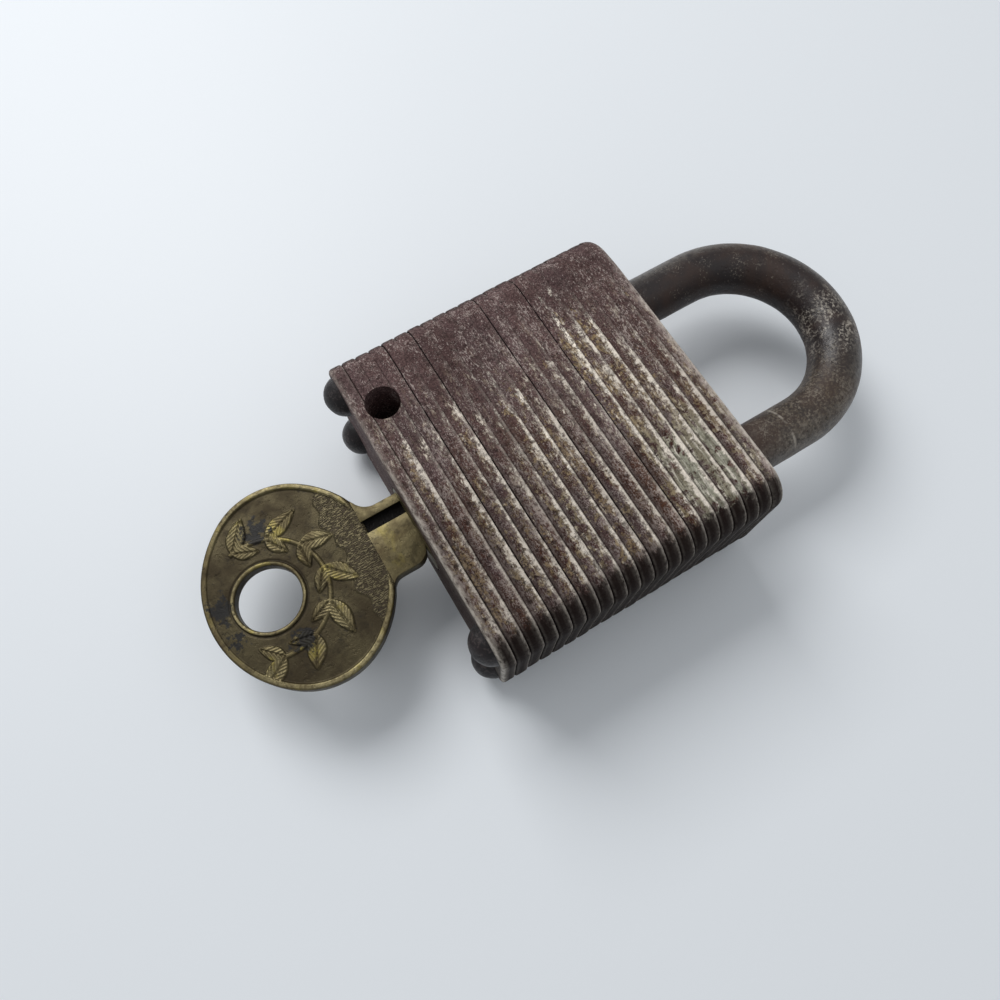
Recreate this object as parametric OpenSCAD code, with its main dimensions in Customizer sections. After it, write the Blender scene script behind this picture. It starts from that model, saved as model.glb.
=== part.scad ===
// Laminated steel padlock, shackle closed, brass key in its keyway, lying on its back.
// Millimetres. X runs across the width, Y from the key end towards the shackle, Z up
// from the back face. The origin is the centre of the back face.

/* [Body plates] */
// Width of the body
body_w = 44.5; // [42:0.5:56]
// Thickness of the body, front face to back face
body_t = 20.6; // [17:0.1:26]
// Radius of the body's four long corners
corner_r = 4.2; // [2:0.1:4.8]
// Thickness of one plate
plate_t = 1.905; // [1.8:0.005:2.4]
// Plates that hold the cylinder
cylinder_plates = 11; // [10:1:14]
// Plates above the lever spring's plate
cap_plates = 2; // [2:1:6]

/* [Rivets] */
// Distance from the body's side to a rivet's axis
rivet_inset_x = 3.75; // [3.2:0.05:4.2]
// Distance from the body's front or back face to a rivet's axis
rivet_inset_z = 4.1; // [3.4:0.1:4.6]
// Radius of a rivet's shank
rivet_r = 1.6; // [1.2:0.1:1.9]
// Radius of a rivet's domed head
rivet_head_r = 2.75; // [2.3:0.05:3.1]
// Height of a rivet's domed head
rivet_head_h = 2.2; // [1.2:0.1:2.6]
// Radius of a rivet's flush end in the top plate
rivet_flush_r = 2.2; // [2:0.1:2.8]
// Depth of a rivet's flush end
rivet_flush_h = 0.9; // [0.6:0.1:1.4]

/* [Chain hole] */
// Distance of the chain hole from the heel side of the body
chain_hole_inset_x = 9.27; // [7:0.01:9.5]
// Height of the chain hole above the key end
chain_hole_h = 3.75; // [3.2:0.05:4.2]
// Radius of the chain hole
chain_hole_r = 2.25; // [1.5:0.05:2.6]

/* [Shackle] */
// Diameter of the shackle's rod
rod_d = 7.26; // [6:0.02:8.8]
// Distance from the body's side to a leg's axis
leg_inset = 8.885; // [8:0.005:8.9]
// Height of the bend's centre above the body
bend_h = 12.29; // [8:0.01:60]
// Length of the toe leg below its locking notch
toe_foot = 1.175; // [0.9:0.005:1.5]
// Length of the heel leg below its keeper groove
heel_foot = 2.975; // [1.5:0.005:4]
// Height of the toe leg's end above the body when the shackle is open
toe_clear = 2.4; // [1:0.1:3.5]
// Depth of a locking notch
notch_depth = 1.7; // [1:0.1:2.2]
// Radius of the groove that keeps the open shackle in the body
keeper_groove_r = 2.5; // [2:0.1:2.8]
// Bevel on the end of a leg
leg_bevel = 0.8; // [0.3:0.1:1.2]

/* [Cylinder] */
// Radius of the plug
plug_r = 6.35; // [6.2:0.01:7.65]
// Step from the plug in to its nose
nose_step = 0.35; // [0.25:0.05:0.5]
// Wall of the cylinder shell round the plug
shell_wall = 1.65; // [1.2:0.05:1.8]
// Reach of the pin chambers from the plug's axis
chamber_reach = 13.4; // [12:0.1:14]
// Width of the shell's pin chamber block
chamber_w = 6.4; // [5:0.1:8]
// Thickness of the strip that closes the pin chambers
cover_t = 0.8; // [0.5:0.1:1.2]
// Number of pin stacks
pin_count = 4; // [3:1:5]
// Distance from the last pin stack to the tip of the key
last_pin = 2.5; // [2:0.1:3.5]
// Distance from the key's stop to the first pin stack
first_pin = 5.4; // [4:0.1:6]
// Radius of a pin
pin_r = 1.4; // [1:0.05:1.5]
// Length of a driver pin
driver_len = 3.4; // [2.5:0.1:4]
// Radius of the plug's boss behind the shell
boss_r = 3.4; // [3.1:0.05:3.6]
// Width of the flat tail that turns the cam
tail_w = 5.2; // [4:0.1:5.4]
// Thickness of the flat tail
tail_t = 2.2; // [1.6:0.1:2.6]

/* [Key] */
// Width of the key's blade
blade_w = 7.9; // [7:0.1:8]
// Thickness of the key
key_t = 2.2; // [1.6:0.1:2.4]
// Distance of the blade's spine from the plug's axis
spine_x = 5.3; // [5:0.05:5.4]
// Gap between the key's tip and the back of the shell
tip_gap = 3.26; // [2.5:0.01:5]
// Width of the key's stop shoulder
stop_w = 9.9; // [9.4:0.1:10.6]
// Distance from the stop to the edge of the bow's pattern
neck_len = 5.7; // [4.5:0.1:8]
// Radius of the fillet between the spine and the bow
spine_fillet = 2.6; // [1.5:0.1:3.2]
// Radius of the fillet between the stop shoulder and the bow
stop_fillet = 1.5; // [1:0.1:2]
// Radius of the bow's sides
bow_side_r = 9.9; // [9:0.1:11]
// Width of the bow across
bow_w = 27.6; // [25:0.1:30]
// Length of the bow along the key
bow_l = 23.8; // [22:0.1:24.5]
// Distance of the bow's centre from the stop
bow_y = 16.1; // [15.6:0.1:18]
// Offset of the bow's centre from the plug's axis
bow_x = -1.15; // [-2:0.05:0]
// Radius of the hole in the bow
bow_hole_r = 4.2; // [3:0.1:4.6]
// Distance of the bow's hole from the stop
bow_hole_y = 20.1; // [19:0.1:21]
// Width of the bow's raised rim
rim_w = 1; // [0.6:0.1:1.6]
// Depth of the bow's field under its rim
field_depth = 0.3; // [0.1:0.05:0.5]

/* [Lock work] */
// Travel of a locking lever
lever_travel = 2; // [1.6:0.1:2.1]
// Width of a locking lever
lever_w = 9; // [8:0.1:10]
// Radius of the cam's disc
cam_r = 3.8; // [3.4:0.1:4.2]
// Radius of a drive pin on the cam
drive_pin_r = 0.7; // [0.5:0.05:0.8]
// Radius of the spring post on a lever
post_r = 0.6; // [0.4:0.05:0.7]

/* [Clearances] */
// Gap round a leg in its bore
leg_gap = 0.2; // [0.1:0.05:0.3]
// Gap round the plug in the shell
plug_gap = 0.05; // [0.02:0.01:0.08]
// Gap round seated pieces
seat_gap = 0.05; // [0.02:0.01:0.1]
// Gap between sliding or turning lock work and what is near it
work_gap = 0.2; // [0.15:0.05:0.25]

/* [Hidden] */
$fn = 64;
plate_count = 1 + cylinder_plates + 1 + 2 + 1 + 2 + 1 + cap_plates;
clip_plate = cylinder_plates + 2;
cam_plate = clip_plate + 3;
lever_plate = cam_plate + 1;
spring_plate = lever_plate + 2;
heel_plate = 5;
body_h = plate_count * plate_t;
bottom_y = -body_h / 2;
top_y = body_h / 2;
mid_z = body_t / 2;
leg_x = body_w / 2 - leg_inset;
rod_r = rod_d / 2;
shell_r = plug_r + shell_wall;
nose_r = plug_r - nose_step;
blade_len = (cylinder_plates + 1) * plate_t - tip_gap;
pin_pitch = (blade_len - first_pin - last_pin) / max(1, pin_count - 1);
over = 1;
steel = "#5b4b45";
dark_steel = "#3c3735";
bright_steel = "#9a9a98";
brass = "#7d7350";

rivet_x = body_w / 2 - rivet_inset_x;
rivet_z = [rivet_inset_z, body_t - rivet_inset_z];

clip_y = plate_y(clip_plate) + seat_gap;
clip_t = plate_t * 0.4;
clip_r = boss_r + 1.4;
clip_mouth = 2.4;
boss_groove_r = boss_r - 0.8;
cam_y = plate_y(cam_plate) + work_gap;
cam_t = plate_t - 2 * work_gap;
lever_y = plate_y(lever_plate) + work_gap;
lever_t = 2 * plate_t - 2 * work_gap;
lever_reach = leg_x - rod_r - work_gap;
lever_block_x = cam_r + 1.4;
arm_reach = lever_block_x - 2 * lever_travel - work_gap;
drive_offset = lever_travel / 2;
drive_slot = drive_pin_r + work_gap / 2;
post_x = lever_block_x + post_r + work_gap / 2;
post_top = plate_y(spring_plate) + plate_t - work_gap;
spring_slot_w = 2.4;
notch_h = 2 * plate_t + 2 * work_gap;
notch_y = lever_y + lever_t / 2 - notch_h / 2;
toe_end_y = notch_y - toe_foot;
lift = top_y - toe_end_y + toe_clear;
heel_end_y = notch_y - lift - heel_foot;
bend_y = top_y + bend_h;

blade_top_x = blade_w - spine_x;
stop_x = stop_w - spine_x;
tip_w = blade_w * 0.28;
cut_root_w = 1.2;
cut_base = 0.4;
cut_step = 0.6;
cut_run = 5;
cuts = [2, 4, 3, 1, 2];
ward_x = [-4.05, -2.25];
ward_depth = 0.6;
key_gap = 0.1;
keyway_past = 0.6;
pin_gap = 0.05;
pin_tip_r = 0.45;
pin_play = 0.02;
driver_x = plug_r + plug_gap;
tail_cap = 0.4;
pin_root = 0.2;
side_shift = bow_w / 2 - bow_side_r;
arc_shift = (pow(side_shift, 2) - pow(bow_l / 2 - bow_side_r, 2)) / (bow_l - 2 * bow_side_r);
bow_arc_r = bow_l / 2 + arc_shift;

coil_steps = 12;
coil_sides = 8;
leg_spring_r = rod_r - 1;
leg_spring_wire = 0.45;
leg_spring_turns = 5;
lever_spring_r = 0.65;
lever_spring_wire = 0.22;
lever_spring_turns = 8;
pin_spring_r = pin_r - 0.35;
pin_spring_wire = 0.2;
pin_spring_turns = 5;

// Name of plate i, counted from the key end.
function plate_name(i) = str("body_plate_", i < 10 ? "0" : "", i);

// Lower face of plate i.
function plate_y(i) = bottom_y + (i - 1) * plate_t;

// Place of pin stack i along the body.
function pin_y(i) = bottom_y + first_pin + (i - 1) * pin_pitch;

// Root of the key's cut under pin stack i.
function cut_root(i) = blade_top_x - cut_step * cuts[i - 1] - cut_base;

// A flat shape in X and Z carried along Y from y.
module along_y(y, len) {
    translate([0, y + len, 0]) rotate([90, 0, 0]) linear_extrude(len) children();
}

// A round bar along Y.
module bar_y(x, z, y, len, r) {
    translate([x, y + len, z]) rotate([90, 0, 0]) cylinder(r = r, h = len);
}

// A round bar along X.
module bar_x(x, y, z, len, r1, r2) {
    translate([x, y, z]) rotate([0, 90, 0]) cylinder(r1 = r1, r2 = r2, h = len);
}

// A rectangle with round corners, its middle at the origin.
module round_rect(w, h, r) {
    square([w - 2 * r, h], center = true);
    square([w, h - 2 * r], center = true);
    for (sx = [-1, 1])
        for (sy = [-1, 1])
            translate([sx * (w / 2 - r), sy * (h / 2 - r)]) circle(r);
}

// A coil spring along +Z, its ends cut square.
module coil(r, wire_r, len, turns) {
    sides = coil_sides;
    rings = turns * coil_steps;
    points = [for (k = [0 : rings])
        let (a = 360 * k / coil_steps, z = wire_r + (len - 2 * wire_r) * k / rings)
        for (j = [0 : sides - 1])
            let (b = 360 * j / sides, d = r + wire_r * cos(b))
            [d * cos(a), d * sin(a), z + wire_r * sin(b)]];
    walls = [for (k = [0 : rings - 1])
        for (j = [0 : sides - 1])
            let (n = (j + 1) % sides)
            each [[k * sides + j, k * sides + n, (k + 1) * sides + n],
                  [k * sides + j, (k + 1) * sides + n, (k + 1) * sides + j]]];
    first_end = [[for (j = [sides - 1 : -1 : 0]) j]];
    last_end = [[for (j = [0 : sides - 1]) rings * sides + j]];
    polyhedron(points = points, faces = concat(walls, first_end, last_end));
}

// Outline of the cylinder shell in X and Z, grown by a gap.
module shell_outline(gap, reach) {
    circle(shell_r + gap);
    translate([0, -chamber_w / 2 - gap]) square([reach + gap, chamber_w + 2 * gap]);
}

// What is cut out of plate i.
module plate_cuts(i) {
    y = plate_y(i) - over;
    len = plate_t + 2 * over;
    for (sx = [-1, 1])
        for (z = rivet_z)
            bar_y(sx * rivet_x, z, y, len, rivet_r + seat_gap);
    if (i == 1) bar_y(0, mid_z, y, len, nose_r + work_gap);
    if (i > 1 && i <= cylinder_plates + 1)
        along_y(y, len) translate([0, mid_z]) shell_outline(seat_gap, chamber_reach + cover_t);
    if (i == clip_plate) bar_y(0, mid_z, y, len, clip_r + work_gap);
    if (i > clip_plate && i < cam_plate) bar_y(0, mid_z, y, len, boss_r);
    if (i == cam_plate) bar_y(0, mid_z, y, len, cam_r + work_gap);
    if (i == lever_plate || i == lever_plate + 1)
        along_y(y, len) translate([0, mid_z])
            square([2 * leg_x, lever_w + 2 * work_gap], center = true);
    if (i == spring_plate)
        along_y(y, len) translate([0, mid_z])
            square([2 * (post_x + post_r + work_gap), spring_slot_w], center = true);
    if (i >= heel_plate) bar_y(-leg_x, mid_z, y, len, rod_r + leg_gap);
    if (i >= cam_plate) bar_y(leg_x, mid_z, y, len, rod_r + leg_gap);
    if (plate_y(i) < bottom_y + chain_hole_h + chain_hole_r)
        translate([chain_hole_inset_x - body_w / 2, bottom_y + chain_hole_h, -over])
            cylinder(r = chain_hole_r, h = body_t + 2 * over);
}

// The flush, coned ends of the four rivets, grown by a gap.
module flush_ends(gap) {
    for (sx = [-1, 1])
        for (z = rivet_z)
            translate([sx * rivet_x, top_y, z]) rotate([90, 0, 0])
                cylinder(r1 = rivet_flush_r + gap, r2 = rivet_r + gap, h = rivet_flush_h);
}

// One steel plate of the body.
module body_plate(i) {
    color(steel)
        difference() {
            along_y(plate_y(i), plate_t) translate([0, mid_z]) round_rect(body_w, body_t, corner_r);
            plate_cuts(i);
            if (i == plate_count) flush_ends(seat_gap);
        }
}

// The four rivets: a domed head under the bottom plate and a flush end in the top plate.
module rivets() {
    dome_r = (pow(rivet_head_r, 2) + pow(rivet_head_h, 2)) / (2 * rivet_head_h);
    color(dark_steel) {
        for (sx = [-1, 1])
            for (z = rivet_z) {
                bar_y(sx * rivet_x, z, bottom_y, body_h, rivet_r);
                intersection() {
                    translate([sx * rivet_x, bottom_y - rivet_head_h + dome_r, z]) sphere(dome_r);
                    bar_y(sx * rivet_x, z, bottom_y - rivet_head_h - over, rivet_head_h + over,
                          rivet_head_r + over);
                }
            }
        flush_ends(0);
    }
}

// A leg of the shackle with a bevelled end.
module leg(x, end_y) {
    bar_y(x, mid_z, end_y + leg_bevel, bend_y - end_y - leg_bevel, rod_r);
    translate([x, end_y + leg_bevel, mid_z]) rotate([90, 0, 0])
        cylinder(r1 = rod_r, r2 = rod_r - leg_bevel, h = leg_bevel);
}

// The bent rod: a long heel leg, a short toe leg, a notch in each and a keeper groove.
module shackle() {
    color(dark_steel)
        difference() {
            union() {
                leg(-leg_x, heel_end_y);
                leg(leg_x, toe_end_y);
                translate([0, bend_y, mid_z])
                    rotate_extrude(angle = 180) translate([leg_x, 0]) circle(rod_r);
            }
            for (side = [-1, 1])
                translate([side > 0 ? leg_x - rod_r - over : -leg_x + rod_r - notch_depth,
                           notch_y, mid_z - rod_r - over])
                    cube([notch_depth + over, notch_h, rod_d + 2 * over]);
            translate([0, -lift, 0])
                difference() {
                    bar_y(-leg_x, mid_z, notch_y, notch_h, rod_r + over);
                    bar_y(-leg_x, mid_z, notch_y - over, notch_h + 2 * over, keeper_groove_r);
                }
        }
}

// The spring that lifts the shackle, under the heel leg.
module shackle_spring() {
    floor_y = plate_y(heel_plate);
    color(bright_steel)
        translate([-leg_x, floor_y, mid_z]) rotate([-90, 0, 0])
            coil(leg_spring_r, leg_spring_wire, heel_end_y - floor_y - 2 * seat_gap,
                 leg_spring_turns);
}

// The shell that holds the plug and the pin chambers.
module cylinder_shell() {
    color(brass)
        difference() {
            along_y(plate_y(2), cylinder_plates * plate_t)
                translate([0, mid_z]) shell_outline(0, chamber_reach);
            bar_y(0, mid_z, plate_y(2) - over, cylinder_plates * plate_t + 2 * over,
                  plug_r + plug_gap);
            for (i = [1 : pin_count])
                bar_x(0, pin_y(i), mid_z, chamber_reach + over, pin_r + pin_gap, pin_r + pin_gap);
        }
}

// The strip that closes the pin chambers.
module chamber_cover() {
    color(bright_steel)
        translate([chamber_reach, plate_y(2), mid_z - chamber_w / 2])
            cube([cover_t, cylinder_plates * plate_t, chamber_w]);
}

// Section of the keyway in X and Z, with the ward that fills the key's groove.
module keyway() {
    half_t = key_t / 2 + key_gap;
    difference() {
        translate([-spine_x - key_gap, -half_t]) square([blade_w + 2 * key_gap, 2 * half_t]);
        translate([ward_x[0] + key_gap, key_t / 2 - ward_depth + key_gap])
            square([ward_x[1] - ward_x[0] - 2 * key_gap, ward_depth + key_gap]);
    }
}

// The plug that the key turns, with its nose, clip groove and flat tail.
module plug() {
    barrel_y = plate_y(2);
    barrel_end = plate_y(clip_plate);
    boss_len = plate_t - work_gap;
    color(brass)
        difference() {
            union() {
                bar_y(0, mid_z, bottom_y, plate_t + over, nose_r);
                bar_y(0, mid_z, barrel_y, barrel_end - barrel_y, plug_r);
                bar_y(0, mid_z, barrel_end, boss_len, boss_r);
                translate([-tail_t / 2, barrel_end, mid_z - tail_w / 2])
                    cube([tail_t, cam_y + cam_t - tail_cap - barrel_end, tail_w]);
            }
            along_y(bottom_y - over, blade_len + keyway_past + over) translate([0, mid_z]) keyway();
            for (i = [1 : pin_count])
                bar_x(0, pin_y(i), mid_z, plug_r + over, pin_r + pin_gap, pin_r + pin_gap);
            difference() {
                bar_y(0, mid_z, clip_y, clip_t, boss_r + over);
                bar_y(0, mid_z, clip_y, clip_t, boss_groove_r);
            }
        }
}

// The open ring that keeps the plug in the shell.
module plug_clip() {
    color(bright_steel)
        difference() {
            bar_y(0, mid_z, clip_y + seat_gap, clip_t - 2 * seat_gap, clip_r);
            bar_y(0, mid_z, clip_y - over, clip_t + 2 * over, boss_groove_r + seat_gap);
            translate([-clip_mouth / 2, clip_y - over, mid_z])
                cube([clip_mouth, clip_t + 2 * over, clip_r + over]);
        }
}

// The disc on the plug's tail, with two pins that draw the levers in.
module cam() {
    color(bright_steel)
        difference() {
            union() {
                bar_y(0, mid_z, cam_y, cam_t, cam_r);
                for (s = [-1, 1])
                    bar_y(-s * drive_offset, mid_z + s * drive_offset, cam_y + cam_t - pin_root,
                          lever_t + pin_root, drive_pin_r);
            }
            translate([-tail_t / 2 - seat_gap, cam_y - over, mid_z - tail_w / 2 - seat_gap])
                cube([tail_t + 2 * seat_gap, cam_t - tail_cap + over + seat_gap,
                      tail_w + 2 * seat_gap]);
        }
}

// One locking lever on the heel side: a block that faces the leg, an arm and a spring post.
module lever() {
    color(bright_steel) {
        difference() {
            union() {
                translate([-lever_reach, lever_y, -lever_w / 2])
                    cube([lever_reach - lever_block_x, lever_t, lever_w]);
                translate([-lever_block_x - over, lever_y, work_gap])
                    cube([lever_block_x + over + arm_reach, lever_t, lever_w / 2 - work_gap]);
            }
            translate([-drive_offset - drive_slot, lever_y - over, -over])
                cube([2 * drive_slot, lever_t + 2 * over,
                      over + drive_offset * sqrt(2) + drive_slot]);
        }
        bar_y(-post_x, 0, lever_y + lever_t - over, post_top - lever_y - lever_t + over, post_r);
    }
}

// The lever that faces the heel leg.
module lever_heel() {
    translate([0, 0, mid_z]) lever();
}

// The lever that faces the toe leg.
module lever_toe() {
    translate([0, 0, mid_z]) rotate([0, 180, 0]) lever();
}

// The spring that pushes the two levers apart, between their posts.
module lever_spring() {
    end_x = post_x - post_r - seat_gap;
    spring_y = (plate_y(spring_plate) + post_top) / 2;
    color(bright_steel)
        translate([-end_x, spring_y, mid_z]) rotate([0, 90, 0])
            coil(lever_spring_r, lever_spring_wire, 2 * end_x, lever_spring_turns);
}

// The bow's oval, drawn in by an inset: two long arcs between two round sides.
module bow_oval(inset) {
    reach = side_shift * (bow_arc_r - inset) / (bow_arc_r - bow_side_r);
    translate([bow_x, -bow_y]) {
        intersection() {
            translate([0, arc_shift]) circle(bow_arc_r - inset, $fn = 2 * $fn);
            translate([0, -arc_shift]) circle(bow_arc_r - inset, $fn = 2 * $fn);
            square([2 * reach, bow_l + 2 * over], center = true);
        }
        for (s = [-1, 1])
            translate([s * side_shift, 0]) circle(bow_side_r - inset, $fn = 2 * $fn);
    }
}

// The fillet between the bow and a straight edge at x, on side s.
module bow_fillet(x, r, s) {
    arc_y = -bow_y - arc_shift;
    away_x = x + s * r - bow_x;
    away_y = sqrt(pow(bow_arc_r + r, 2) - pow(away_x, 2));
    part = (bow_arc_r - over) / (bow_arc_r + r);
    points = [[x - s * over, arc_y + away_y], [x + s * r, arc_y + away_y],
              [bow_x + away_x * part, arc_y + away_y * part], [bow_x, -bow_y]];
    difference() {
        polygon([for (k = [0 : 3]) points[s < 0 ? k : 3 - k]]);
        translate([x + s * r, arc_y + away_y]) circle(r);
    }
}

// Flat outline of the key in X and Y, measured from its stop.
module key_outline() {
    shoulder_r = stop_x - blade_top_x;
    bow_oval(0);
    bow_fillet(-spine_x, spine_fillet, -1);
    bow_fillet(stop_x, stop_fillet, 1);
    translate([-spine_x, -bow_y]) square([stop_w, bow_y - shoulder_r]);
    translate([-spine_x, -bow_y]) square([blade_w, bow_y]);
    intersection() {
        translate([blade_top_x, -shoulder_r]) circle(shoulder_r);
        translate([blade_top_x, -bow_y]) square([shoulder_r, bow_y]);
    }
    polygon([[-spine_x, -over], [blade_top_x, -over], [blade_top_x, blade_len - tip_w],
             [blade_top_x - tip_w, blade_len], [-spine_x + tip_w / 2, blade_len],
             [-spine_x, blade_len - tip_w / 2]]);
}

// The field inside the bow's rim, measured from the stop.
module bow_field() {
    difference() {
        bow_oval(rim_w);
        translate([bow_x, -bow_hole_y]) circle(bow_hole_r + rim_w / 2);
        translate([bow_x - bow_w, -neck_len]) square([2 * bow_w, bow_w]);
    }
}

// The brass key, its blade in the plug and its bow outside the body.
module key() {
    z = mid_z - key_t / 2;
    color(brass)
        translate([0, bottom_y, 0])
            difference() {
                translate([0, 0, z]) linear_extrude(key_t) key_outline();
                translate([bow_x, -bow_hole_y, z - over])
                    cylinder(r = bow_hole_r, h = key_t + 2 * over);
                translate([0, 0, z + key_t - field_depth]) linear_extrude(over) bow_field();
                translate([0, 0, z + field_depth - over]) linear_extrude(over) bow_field();
                translate([ward_x[0], -neck_len, z + key_t - ward_depth])
                    cube([ward_x[1] - ward_x[0], neck_len + blade_len + over, over]);
                for (i = [1 : pin_count])
                    translate([cut_root(i), first_pin + (i - 1) * pin_pitch, z - over])
                        linear_extrude(key_t + 2 * over)
                            polygon([[0, -cut_root_w / 2], [0, cut_root_w / 2],
                                     [cut_run, cut_root_w / 2 + cut_run],
                                     [cut_run, -cut_root_w / 2 - cut_run]]);
            }
}

// Key pin i, from the key's cut to the plug's surface.
module key_pin(i) {
    x = cut_root(i) + pin_play;
    cone = pin_r - pin_tip_r;
    end_x = sqrt(pow(plug_r, 2) - pow(pin_r, 2)) - pin_play;
    color(brass) {
        bar_x(x, pin_y(i), mid_z, cone, pin_tip_r, pin_r);
        bar_x(x + cone, pin_y(i), mid_z, end_x - x - cone, pin_r, pin_r);
    }
}

// Driver pin i, in the shell just outside the plug.
module driver_pin(i) {
    color(bright_steel) bar_x(driver_x, pin_y(i), mid_z, driver_len, pin_r, pin_r);
}

// The spring behind driver pin i.
module pin_spring(i) {
    start = driver_x + driver_len + seat_gap;
    color(bright_steel)
        translate([start, pin_y(i), mid_z]) rotate([0, 90, 0])
            coil(pin_spring_r, pin_spring_wire, chamber_reach - seat_gap - start,
                 pin_spring_turns);
}

for (i = [1 : plate_count])
    body_plate(i);
rivets();
shackle();
shackle_spring();
cylinder_shell();
chamber_cover();
plug();
plug_clip();
cam();
lever_heel();
lever_toe();
lever_spring();
key();
for (i = [1 : pin_count]) {
    key_pin(i);
    driver_pin(i);
    pin_spring(i);
}
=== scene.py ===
"""Looks of a rusty laminated padlock with a brass key: meshes, finishes, light and camera."""

import logging
import math
from dataclasses import dataclass, field
from enum import Enum

import bmesh
import bpy
from mathutils import Matrix, Vector, noise


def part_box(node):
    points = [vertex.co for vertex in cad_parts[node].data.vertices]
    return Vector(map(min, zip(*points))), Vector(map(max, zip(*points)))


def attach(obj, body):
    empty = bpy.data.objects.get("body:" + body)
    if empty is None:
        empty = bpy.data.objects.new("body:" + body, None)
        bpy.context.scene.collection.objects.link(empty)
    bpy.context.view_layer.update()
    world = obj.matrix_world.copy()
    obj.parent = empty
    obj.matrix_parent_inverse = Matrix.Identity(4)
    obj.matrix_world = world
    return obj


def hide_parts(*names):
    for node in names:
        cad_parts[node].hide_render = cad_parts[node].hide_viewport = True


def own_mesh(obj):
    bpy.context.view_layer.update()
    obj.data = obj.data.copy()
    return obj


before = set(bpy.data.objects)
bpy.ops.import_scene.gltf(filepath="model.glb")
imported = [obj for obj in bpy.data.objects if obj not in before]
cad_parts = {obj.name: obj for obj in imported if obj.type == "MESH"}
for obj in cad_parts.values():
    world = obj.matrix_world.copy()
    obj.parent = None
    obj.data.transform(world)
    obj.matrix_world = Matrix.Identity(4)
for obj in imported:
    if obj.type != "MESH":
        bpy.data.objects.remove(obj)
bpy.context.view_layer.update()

LOG = logging.getLogger("padlock")
MM = 0.001
WELD = 0.002 * MM

Socket = bpy.types.NodeSocket
Shape = bmesh.types.BMesh
Vert = bmesh.types.BMVert
Edge = bmesh.types.BMEdge
Piece = bpy.types.Object
Point = tuple[float, float, float]
Colour = tuple[float, float, float]


def paint(red: int, green: int, blue: int) -> Colour:
    """Turns a screen colour into the linear colour that shaders take.

    Args:
        red: Red from 0 to 255.
        green: Green from 0 to 255.
        blue: Blue from 0 to 255.

    Returns:
        The linear colour.
    """
    def linear(level: int) -> float:
        """Returns one channel on the linear scale."""
        part = level / 255
        return part / 12.92 if part <= 0.04045 else ((part + 0.055) / 1.055) ** 2.4

    return linear(red), linear(green), linear(blue)


def smooth(low: float, high: float, value: float) -> float:
    """Returns 0 below low, 1 above high and a smooth rise between them."""
    part = min(1.0, max(0.0, (value - low) / (high - low)))
    return part * part * (3 - 2 * part)


class Body(Enum):
    """The rigid bodies that pieces ride on."""

    BODY = "body"
    PLUG = "plug"
    SHACKLE = "shackle"


class Slot(Enum):
    """The material slots."""

    PLATES = "plate_steel"
    RIVETS = "rivet_steel"
    SHACKLE = "shackle_steel"
    BRASS = "old_brass"
    INNER = "inner_steel"


# ---------------------------------------------------------------- shader building


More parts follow.
